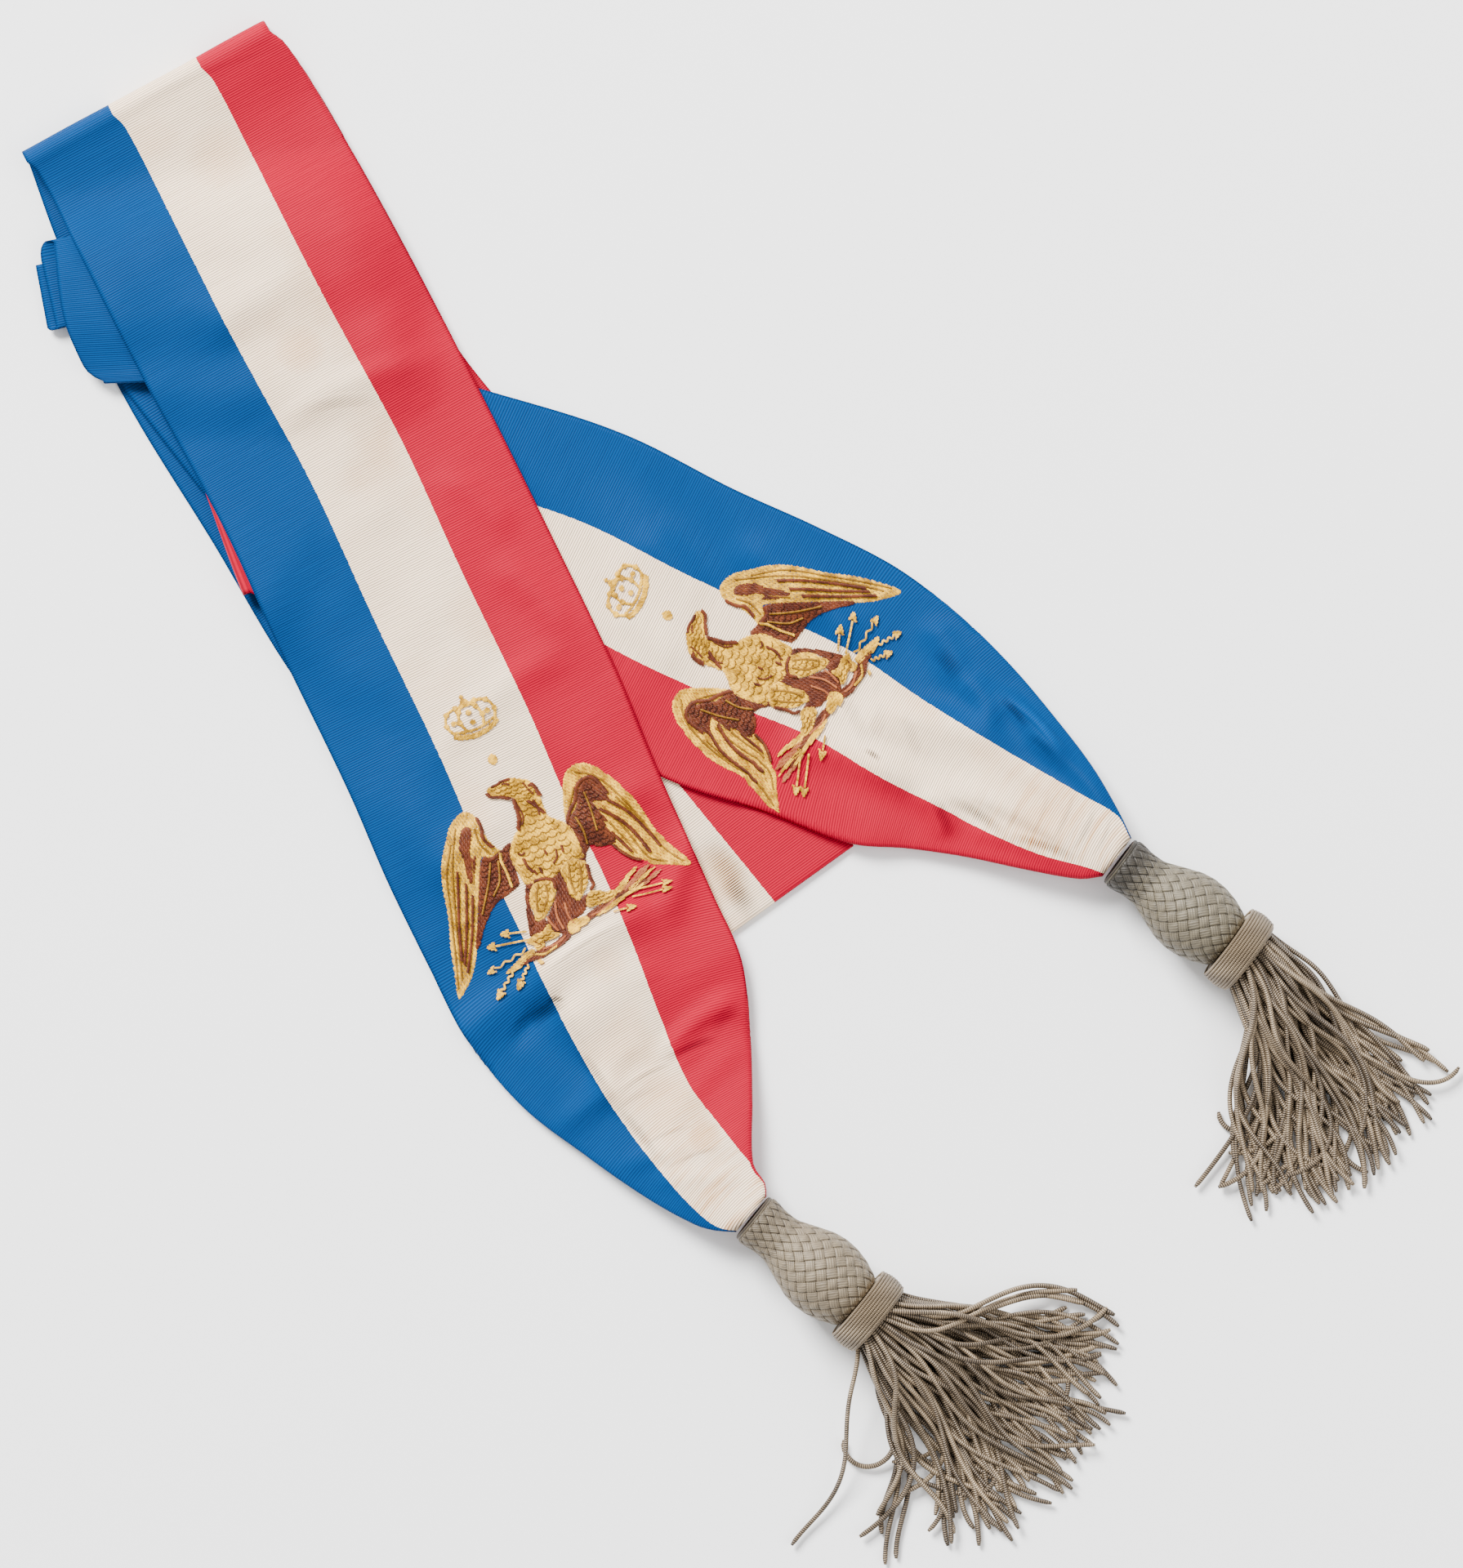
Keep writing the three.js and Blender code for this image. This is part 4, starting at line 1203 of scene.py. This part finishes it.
    def crown(self, place):
        shift = np.array(place, dtype=float)
        for band in crownBands:
            self.patch("gold", 35, 1, [shift + np.array(p) for p in band])
        for arch in crownArches:
            self.rope("gold", 1.0, 1, [shift + np.array(p) for p in arch])
        for x, y in crownPearls + [p for arch in crownArches for p in arch[1:-1]]:
            self.dot(shift + np.array([x, y]), embroidery["pearl"])
        self.dot(shift + np.array(crownOrb), embroidery["orb"])
        for stroke in crownCross:
            self.strand("gold", [shift + np.array(p) for p in stroke], 2, 0.35)

    def dot(self, middle, radius):
        ring = [middle + radius * np.array([math.cos(a), math.sin(a)]) for a in evenAngles(8)]
        self.patch("gold", 20, 2, ring)

    def make(self):
        for thread, rows in self.rows.items():
            if rows:
                self.makeThread(thread, np.array(rows))

    def makeThread(self, thread, rows):
        start, finish, lift, wide, chance = rows[:, 0:2], rows[:, 2:4], rows[:, 4], rows[:, 5], rows[:, 6]
        ahead = finish - start
        length = np.maximum(np.linalg.norm(ahead, axis=1, keepdims=True), 1e-6)
        across = np.stack([-ahead[:, 1], ahead[:, 0]], axis=1) / length
        spots, heights, uv = [], [], []
        for share, rise, width in stitchSections:
            for side in (-1, 0, 1):
                breadth = side * width * wide * embroidery["breadth"]
                spots.append(start + ahead * share + across * breadth[:, None])
                low = embroidery["edgeLift"] if 0 < share < 1 else embroidery["sunk"]
                heights.append(lift + (embroidery["height"] * rise if side == 0 else low))
                uv.append(np.stack([chance * 90 + side * 0.3, share * length[:, 0] + chance * 7], axis=1))
        spots = np.stack(spots, axis=1)
        count = spots.shape[1]
        flatSpots = spots.reshape(-1, 2) + [self.end["shift"], 0]
        # the cloth was pulled askew under the needle, more so on one side
        middle, blueSlant, redSlant = self.end["slant"]
        toBlue, toRed = np.maximum(middle - flatSpots[:, 0], 0), np.maximum(flatSpots[:, 0] - middle, 0)
        below = np.minimum(flatSpots[:, 1] - embroidery["leanBelow"], 0)
        flatSpots[:, 0] += self.end["lean"] * below * toBlue
        fromNeck = self.end["line"] + flatSpots[:, 1] + blueSlant * toBlue - redSlant * toRed
        place = along[-1] - fromNeck if self.end["last"] else fromNeck
        points, up = onCloth(flatSpots[:, 0], place)
        points += up * np.stack(heights, axis=1).reshape(-1, 1)
        # the back end is woven the other way round, so its faces turn over
        order = (0, 1, 4, 3), (1, 2, 5, 4)
        corners = [[r * 3 + k for k in quad] for r in range(len(stitchSections) - 1) for quad in order]
        if not self.end["last"]:
            corners = [quad[::-1] for quad in corners]
        offsets = np.arange(len(rows)) * count
        faces = (offsets[:, None, None] + np.array(corners)[None]).reshape(-1, 4)
        name = self.end["name"] + "_" + thread + "_embroidery"
        uv = np.stack(uv, axis=1).reshape(-1, 2)
        piece = makePiece(name, points * mm, faces, threads[thread], {"Cloth": uv})


def embroideryMaterial(name, bright, dark):
    g = Graph(name)
    u, v = g.layer("Cloth")
    tone = g.noise(g.vector(u, v * 0.4), 1.0, 2.0)
    # painted sheen: lighter and darker patches over the stitches, fixed in space, on top of each stitch's own
    # tone
    spot = g.add("ShaderNodeTexCoord", {}, {}, out=3)
    sheen = g.noise(spot, 240.0, 1.0)
    ply = ((u * 2.0 + v * 1.6) * tau).wave()
    factor = (tone - 0.5) * 2.6 + (sheen - 0.5) * 2.6 + 0.46
    colour = g.ramp(factor, [(0.0, dark), (1.0, bright)])
    bump = g.add("ShaderNodeBump", {}, {"Strength": 0.4, "Distance": 0.1 * mm, "Height": ply})
    return g.finish(**{"Base Color": colour, "Roughness": 0.4, "Normal": bump, "Specular IOR Level": 0.12})


threads = {
    "gold": embroideryMaterial("gold silk thread", (0.84, 0.47, 0.03), (0.3, 0.145, 0.004)),
    "ochre": embroideryMaterial("ochre silk thread", (0.3, 0.14, 0.01), (0.13, 0.055, 0.003)),
    "umber": embroideryMaterial("dark brown silk thread", (0.06, 0.013, 0.005), (0.03, 0.006, 0.003)),
    "brown": embroideryMaterial("brown silk thread", (0.13, 0.03, 0.01), (0.055, 0.011, 0.005)),
    "orange": embroideryMaterial("orange silk thread", (0.34, 0.11, 0.04), (0.24, 0.06, 0.02)),
}


def embroider(end):
    work = Stitches(end)
    for name, thread, degrees, layer, pixels in eaglePatches:
        outline = fromTracing(pixels)
        work.patch(thread, directionFromTracing(degrees), layer, outline)
        if name in feathered:
            work.feathers({"gold": "ochre", "brown": "umber"}[thread], layer + 1, outline, feathered[name])
    for thread, width, layer, pixels in tracedLines:
        work.rope(thread, width, layer, fromTracing(pixels))
    for thread, width, layer, points in eagleLines:
        work.rope(thread, width, layer, points)
    for tail, tip, zigzag in eagleArrows:
        work.arrow(*fromTracing([tail, tip]), zigzag)
    work.crown(embroidery["crownPlace"])
    x, y = embroidery["lozengePlace"]
    wide, high = embroidery["lozengeSize"]
    work.patch("gold", 30, 1, [(x - wide, y), (x, y + high), (x + wide, y), (x, y - high)])
    work.make()


for end in embroidery["ends"]:
    embroider(end)
print("embroidery done")

# The tassels: the plan place of each neck and its heading in degrees. The fringe fans out round a heading of
# its own, and some of its cords stray out of the fan.
tassels = [
    {
        "side": "left",
        "x": 8.1,
        "y": -160.9,
        "heading": -39.2,
        "seed": 5,
        "fan": -36,
        "spread": 38,
        "strays": 0.3,
    },
    {
        "side": "right",
        "x": 145.6,
        "y": -27.3,
        "heading": -36.6,
        "seed": 11,
        "fan": -67,
        "spread": 22,
        "strays": 0,
    },
]
tasselAxis = 16.6  # height of a tassel's axis
# The head: a basket weave of flat strands that wind both ways round a core, with a rolled lip at the neck
headSizes = {
    "length": 50,
    "strands": 16,  # each way round
    "turns": 0.58,  # of each strand round the head
    "weave": 0.3,  # how far a strand rises and sinks
    "steepness": 2.4,  # of the rise between two crossings
    "strandShare": 0.49,  # half the breadth of a strand, of the room that it has
    "strandLength": 60,
    "coreInset": 0.9,
    "coreShade": -1.5,  # painted shade: the core, seen between the strands, is darker than the strands on it
    "lipPlace": 0.2,
    "lipRadius": 9.1,
    "lipThick": 0.9,
    "lipLength": 57,
}
# the cross-section of a strand of the braid: place across and height
strandSection = [
    (-1, -0.2), (-0.86, 0.04), (-0.4, 0.1), (0, 0.12), (0.4, 0.1), (0.86, 0.04), (1, -0.2), (0, -0.6),
]
# the head's outline: place along the axis and radius
headProfile = [
    (0, 8.3), (1.5, 10.0), (7, 9.4), (13, 9.5), (20, 12.0),
    (28, 14.8), (35, 15.4), (42, 14.2), (48, 11.8), (50, 10.5),
]
# The collar: rings of wound wire side by side on a core, and one more inside its mouth
collarSizes = {
    "rings": 9,
    "from": 50.7,
    "over": 9,
    "radius": 14.9,
    "bulge": 0.75,
    "wire": 0.6,
    "mouth": (60.2, 13.9, 0.8),  # place along the axis, radius and thickness of the ring in the mouth
    "core": [(50.4, 12.8), (51.2, 14.8), (59.2, 14.8), (59.9, 12.4)],
}
# The fringe: cords that leave the collar's mouth, spread into their fan and sink to the surface
cordSizes = {
    "count": 132,
    "from": 60.0,
    "radius": 1.0,
    "thickness": (0.88, 1.05),
    "tip": 0.6,  # of the radius, at the very end
    "length": 96,
    "sideShorter": 0.14,  # how much shorter the cords at the sides are
    "reach": (0.8, 1.02),
    "slack": 1.06,
    "step": 2.0,
    "rootRadius": 12.8,
    "rootShare": 0.95,
    "together": 4,  # neighbours that sway together
    "jitter": 0.07,  # of the places across the fan
    "headingJitter": 6,
    "pileStep": 0.618,  # from one cord to the next, in a pile that is 1 high
    "sway": (0.2, 0.55),
    "speed": (4.5, 8.5),
    "strayFrom": -0.75,  # place across the fan before which cords may stray
    "stray": (0.1, 0.75),
    "curls": [(0.78, 0.3), (0.96, 1.3), (1, 3.4)],  # share of the cords up to each, and how far these curl
    "leaving": 0.6,  # share of its turn to the fan with which a cord leaves the collar
    "spreadBy": 2.6,  # a cord has its full turn, sway and fall after 1 / this share of its length
    "swayBy": 3,
    "fallBy": 1.35,
    "pileHigh": 13.0,
    "pileLow": 2.4,
}


# wire wound round a core: painted highlight on the turns of the wire and painted shade between them, with a
# bump of the same turns
def bullionMaterial(name, light, dark, pitch):
    g = Graph(name)
    v = g.layer("Cloth")[1]
    cosTurn, sinTurn = g.layer("Turn")
    phase = v * (tau / pitch)
    groove = phase.wave() * cosTurn + (phase + tau / 4).wave() * sinTurn - (cosTurn + sinTurn) * 0.5 + 0.5
    cord = g.noise(g.vector(v * 0.012, 0.3), 1.0, 1.0)
    tarnish = g.noise(g.vector(v * 0.11, 4.2), 1.0, 2.0)
    factor = groove * 0.95 + (cord - 0.5) * 1.9 + (tarnish - 0.5) * 1.1 - 0.1
    colour = g.ramp(factor, [(0.0, dark), (1.0, light)])
    bump = g.add("ShaderNodeBump", {}, {"Strength": 0.9, "Distance": 0.3 * mm, "Height": groove})
    return g.finish(**{"Base Color": colour, "Roughness": 0.42, "Metallic": 0.3, "Normal": bump})


# flat strands of fine parallel threads, with painted shade at their edges, where they pass under, and on the
# core
def braidMaterial(name, light, dark, neckDark):
    g = Graph(name)
    u, v = g.layer("Cloth")
    over = g.layer("Turn")[0]
    # the fine threads and their twist as lighter and darker lines, a painted shading of them
    lines = (u * (2.0 * tau)).wave()
    twist = ((v * 1.6 + u * 3.0) * tau).wave()
    tarnish = g.noise(g.vector(u * 0.35, v * 0.35), 1.0, 3.0)
    # darker towards the neck, fading out within about 20 mm of it, and over part of the lip's round
    towardsNeck = (1 - v * (1 / 20)) * neckDark
    # painted shade at the edges of each strand
    rimShade = g.sum("MAXIMUM", u * u - 0.6, 0) * 1.1
    factor = lines * 0.4 + twist * 0.16 + (tarnish - 0.5) * 1.2 + 0.3 + over * 0.16
    factor = factor - rimShade - (towardsNeck > 0) * towardsNeck
    colour = g.ramp(factor, [(0.0, dark), (1.0, light)])
    relief = {"Strength": 0.7, "Distance": 0.15 * mm, "Height": lines + twist * 0.4}
    bump = g.add("ShaderNodeBump", {}, relief)
    return g.finish(**{"Base Color": colour, "Roughness": 0.55, "Metallic": 0.15, "Normal": bump})


bullion = bullionMaterial("bullion", (0.36, 0.265, 0.165), (0.022, 0.014, 0.009), 0.84)
collarWire = bullionMaterial("collar bullion", (0.4, 0.3, 0.185), (0.09, 0.062, 0.036), 0.62)
braids = {
    "left": braidMaterial("woven thread", (0.22, 0.172, 0.11), (0.028, 0.02, 0.012), 0.3),
    "right": braidMaterial("greyer woven thread", (0.165, 0.138, 0.09), (0.02, 0.016, 0.011), 1.0),
}


# directions at some angles from one axis towards another
def directions(angles, first, second):
    angles = np.asarray(angles)[..., None]
    return np.cos(angles) * first + np.sin(angles) * second


# rings of points round a path
def tubeRings(path, radii, sides):
    path = np.asarray(path, dtype=float)
    tangent = np.gradient(path, axis=0)
    tangent /= np.maximum(np.linalg.norm(tangent, axis=1, keepdims=True), 1e-9)
    up = np.array([0, 0, 1.0])
    side = np.cross(tangent, up)
    side /= np.maximum(np.linalg.norm(side, axis=1, keepdims=True), 1e-9)
    top = np.cross(side, tangent)
    ring = directions(evenAngles(sides), side[:, None], top[:, None])
    return path[:, None, :] + ring * radii[:, None, None]


# gathers many small tubes and strips in one mesh
class Bundle:
    def __init__(self):
        self.vertices = []
        self.faces = []
        self.uv = []
        self.turns = []
        self.count = 0

    # marks: a value for each corner of each ring, in place of the turn round the tube; the braid paints shade
    # from it
    def tube(self, rings, lengths, uvOffset=0.0, widths=None, marks=None):
        steps, sides = rings.shape[:2]
        index = np.arange(steps * sides).reshape(steps, sides) + self.count
        nextSide = np.roll(index, -1, axis=1)
        quads = np.stack([index[:-1], nextSide[:-1], nextSide[1:], index[1:]], axis=-1).reshape(-1, 4)
        self.faces += quads.tolist()
        self.faces.append(index[0][::-1].tolist())
        self.faces.append(index[-1].tolist())
        turn = evenAngles(sides)
        u = np.tile(turn if widths is None else np.asarray(widths, dtype=float), steps)
        v = np.repeat(np.asarray(lengths), sides) + uvOffset
        self.uv.append(np.column_stack([u, v]))
        turns = np.tile(np.column_stack([np.cos(turn), np.sin(turn)]), (steps, 1))
        if marks is not None:
            turns = np.column_stack([np.broadcast_to(marks, (steps, sides)).ravel(), np.zeros(steps * sides)])
        self.turns.append(turns)
        self.vertices.append(rings.reshape(-1, 3))
        self.count += steps * sides

    def piece(self, name, material):
        vertices = np.concatenate(self.vertices) * mm
        vertices[:, 2] = np.maximum(vertices[:, 2], 0.05 * mm)
        uv = {"Cloth": np.concatenate(self.uv), "Turn": np.concatenate(self.turns)}
        return makePiece(name, vertices, self.faces, material, uv)


def tasselFrame(t):
    heading = math.radians(t["heading"])
    axis = np.array([math.cos(heading), math.sin(heading), 0])
    side = np.array([-axis[1], axis[0], 0])
    neck = np.array([t["x"], t["y"], tasselAxis])
    return neck, axis, side, np.array([0, 0, 1.0])


def makeHead(t):
    s = headSizes
    neck, axis, side, up = tasselFrame(t)
    places, radii = zip(*headProfile)
    bundle = Bundle()
    core = np.linspace(0, s["length"], 40)
    coreRadius = np.interp(core, places, radii) - s["coreInset"]
    around = directions(evenAngles(40), side, up)
    rings = neck + core[:, None, None] * axis + coreRadius[:, None, None] * around
    bundle.tube(rings[:, ::-1], core, marks=s["coreShade"])
    share = np.linspace(0, 1, 128)
    smoothRadii = curveThrough([[r] for r in radii], places, share * s["length"])[:, 0]
    for way in (1, -1):
        for k in range(s["strands"]):
            turn = tau * (k / s["strands"] + way * s["turns"] * share)
            cross = []
            marks = []
            for offset, drop in strandSection:
                angle = turn + offset * s["strandShare"] * tau / s["strands"]
                # a strand lies over or under where the middle of the one that crosses it comes
                crossing = s["strands"] * (angle / tau + way * s["turns"] * share) - k
                over = way * np.clip(s["steepness"] * np.cos(math.pi * crossing), -1, 1)
                # the same value paints shade on the braid: darker where the strand passes under, lighter
                # where it lies over
                marks.append(over)
                radius = smoothRadii + s["weave"] * over + drop
                onAxis = neck + (share * s["length"])[:, None] * axis
                cross.append(onAxis + radius[:, None] * directions(angle, side, up))
            rings = np.stack(cross, axis=1)
            lengths = share * s["strandLength"]
            widths = [place for place, drop in strandSection]
            bundle.tube(rings, lengths, widths=widths, marks=np.stack(marks, axis=1))
    outward = np.concatenate([around, around[:1]])
    lip = neck + s["lipPlace"] * axis + s["lipRadius"] * outward
    ring = lip[:, None] + s["lipThick"] * directions(evenAngles(8), outward[:, None], axis)
    bundle.tube(ring, np.linspace(0, s["lipLength"], len(lip)), marks=0)
    piece = bundle.piece(t["side"] + "_head_braid", braids[t["side"]])
    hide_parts(t["side"] + "_tassel_head")


def makeCollar(t):
    s = collarSizes
    neck, axis, side, up = tasselFrame(t)
    bundle = Bundle()
    turns = np.linspace(0, tau, 97)
    outward = directions(turns, side, up)
    rows = []
    for k in range(s["rings"]):
        share = k / (s["rings"] - 1)
        radius = s["radius"] + s["bulge"] * math.sin(math.pi * share)
        rows.append((s["from"] + s["over"] * share, radius, s["wire"]))
    rows.append(s["mouth"])
    for place, radius, thick in rows:
        path = neck + place * axis + radius * outward
        ring = path[:, None, :] + thick * directions(evenAngles(8), outward[:, None], axis)
        bundle.tube(ring, turns * radius, uvOffset=place)
    core = np.array(s["core"])
    around = directions(evenAngles(48)[::-1], side, up)
    rings = neck + core[:, 0, None, None] * axis + core[:, 1, None, None] * around
    bundle.tube(rings, core[:, 0])
    piece = bundle.piece(t["side"] + "_collar_band", collarWire)
    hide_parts(t["side"] + "_tassel_collar")


def makeFringe(t):
    s = cordSizes
    neck, axis, side, up = tasselFrame(t)
    rng = random.Random(t["seed"])
    bundle = Bundle()
    heading = math.radians(t["heading"])
    for k in range(s["count"]):
        # cords that lie side by side sway together
        if k % s["together"] == 0:
            size = rng.uniform(*s["sway"])
            speed = rng.uniform(*s["speed"])
            sway = rng.uniform(0, tau)
        across = 2 * (k + 0.5) / s["count"] - 1 + rng.uniform(-s["jitter"], s["jitter"])
        pile = ((k * s["pileStep"]) % 1.0) * 0.9 + rng.uniform(0, 0.1)
        bias = rng.uniform(-s["headingJitter"], s["headingJitter"])
        swing = math.radians(t["fan"] + across * t["spread"] + bias)
        if across < s["strayFrom"] and rng.random() < t["strays"]:
            swing -= rng.uniform(*s["stray"])
        reach = s["length"] * (1 - s["sideShorter"] * across * across) * rng.uniform(*s["reach"])
        # the roots fill the round of the collar's mouth
        rootHeight = 2 * pile - 1
        span = s["rootRadius"] * math.sqrt(max(0, 1 - rootHeight**2)) * s["rootShare"]
        rootHeight = tasselAxis + s["rootRadius"] * rootHeight
        position = neck + s["from"] * axis + across * span * side
        position[2] = rootHeight
        steps = int(reach * s["slack"] / s["step"])
        # most cords wave a little, some curl at the end and a few turn right round
        chance = rng.random()
        strongest = next(curl for likelihood, curl in s["curls"] if chance <= likelihood)
        curl = rng.uniform(-1, 1) * strongest
        speed += rng.uniform(-0.6, 0.6)
        sway += rng.uniform(-0.3, 0.3)
        leaving = heading + s["leaving"] * (swing - heading) + rng.uniform(-0.12, 0.12)
        path = [position.copy()]
        for i in range(1, steps + 1):
            along = i / steps
            angle = leaving + (swing - leaving) * smooth(along * s["spreadBy"])
            angle += size * math.sin(sway + along * speed) * smooth(along * s["swayBy"])
            angle += curl * along**3
            position = position + s["step"] * np.array([math.cos(angle), math.sin(angle), 0])
            fall = smooth(along * s["fallBy"])
            layers = s["pileHigh"] * (1 - along) ** 1.5 + s["pileLow"]
            resting = s["radius"] + pile * layers * (1 + 0.25 * math.sin(sway * 3 + along * 9))
            position[2] = rootHeight * (1 - fall) + resting * fall
            path.append(position.copy())
        radii = np.full(len(path), s["radius"] * rng.uniform(*s["thickness"]))
        radii[-1] *= s["tip"]
        rings = tubeRings(path, radii, 8)
        bundle.tube(rings, np.arange(len(path)) * s["step"], uvOffset=137.0 * k)
    piece = bundle.piece(t["side"] + "_fringe_cords", bullion)
    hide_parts(t["side"] + "_tassel_fringe")


for t in tassels:
    makeHead(t)
    makeCollar(t)
    makeFringe(t)
print("tassels done")


# A plain pale floor and soft light. Places are in metres.
stage = {
    "floor": 4.0,  # half its breadth
    "drop": -0.0004,
    "tone": 0.95,
    "lights": [
        {"name": "key", "place": (-2.5, 3.6, 3.75), "size": 2.25, "watts": 1220},
        {"name": "fill", "place": (2.8, -0.8, 3.2), "size": 3.2, "watts": 104},
    ],
    "sky": 0.85,
}


def makeStage():
    mesh = bpy.data.meshes.new("floor")
    size, drop = stage["floor"], stage["drop"]
    corners = [(-size, -size, drop), (size, -size, drop), (size, size, drop), (-size, size, drop)]
    mesh.from_pydata(corners, [], [(0, 1, 2, 3)])
    g = Graph("floor")
    tone = stage["tone"]
    mesh.materials.append(g.finish(**{"Base Color": (tone, tone, tone, 1), "Roughness": 0.9}))
    floor = bpy.data.objects.new("floor", mesh)
    bpy.context.scene.collection.objects.link(floor)
    for lamp in stage["lights"]:
        light = bpy.data.lights.new(lamp["name"], "AREA")
        light.size = lamp["size"]
        light.energy = lamp["watts"]
        holder = bpy.data.objects.new(lamp["name"], light)
        holder.location = lamp["place"]
        holder.rotation_euler = (-Vector(lamp["place"])).to_track_quat("-Z", "Y").to_euler()
        bpy.context.scene.collection.objects.link(holder)
    world = bpy.data.worlds.new("studio")
    world.use_nodes = True
    background = world.node_tree.nodes["Background"]
    background.inputs["Color"].default_value = (1, 1, 1, 1)
    background.inputs["Strength"].default_value = stage["sky"]
    bpy.context.scene.world = world


makeStage()
print("stage done")
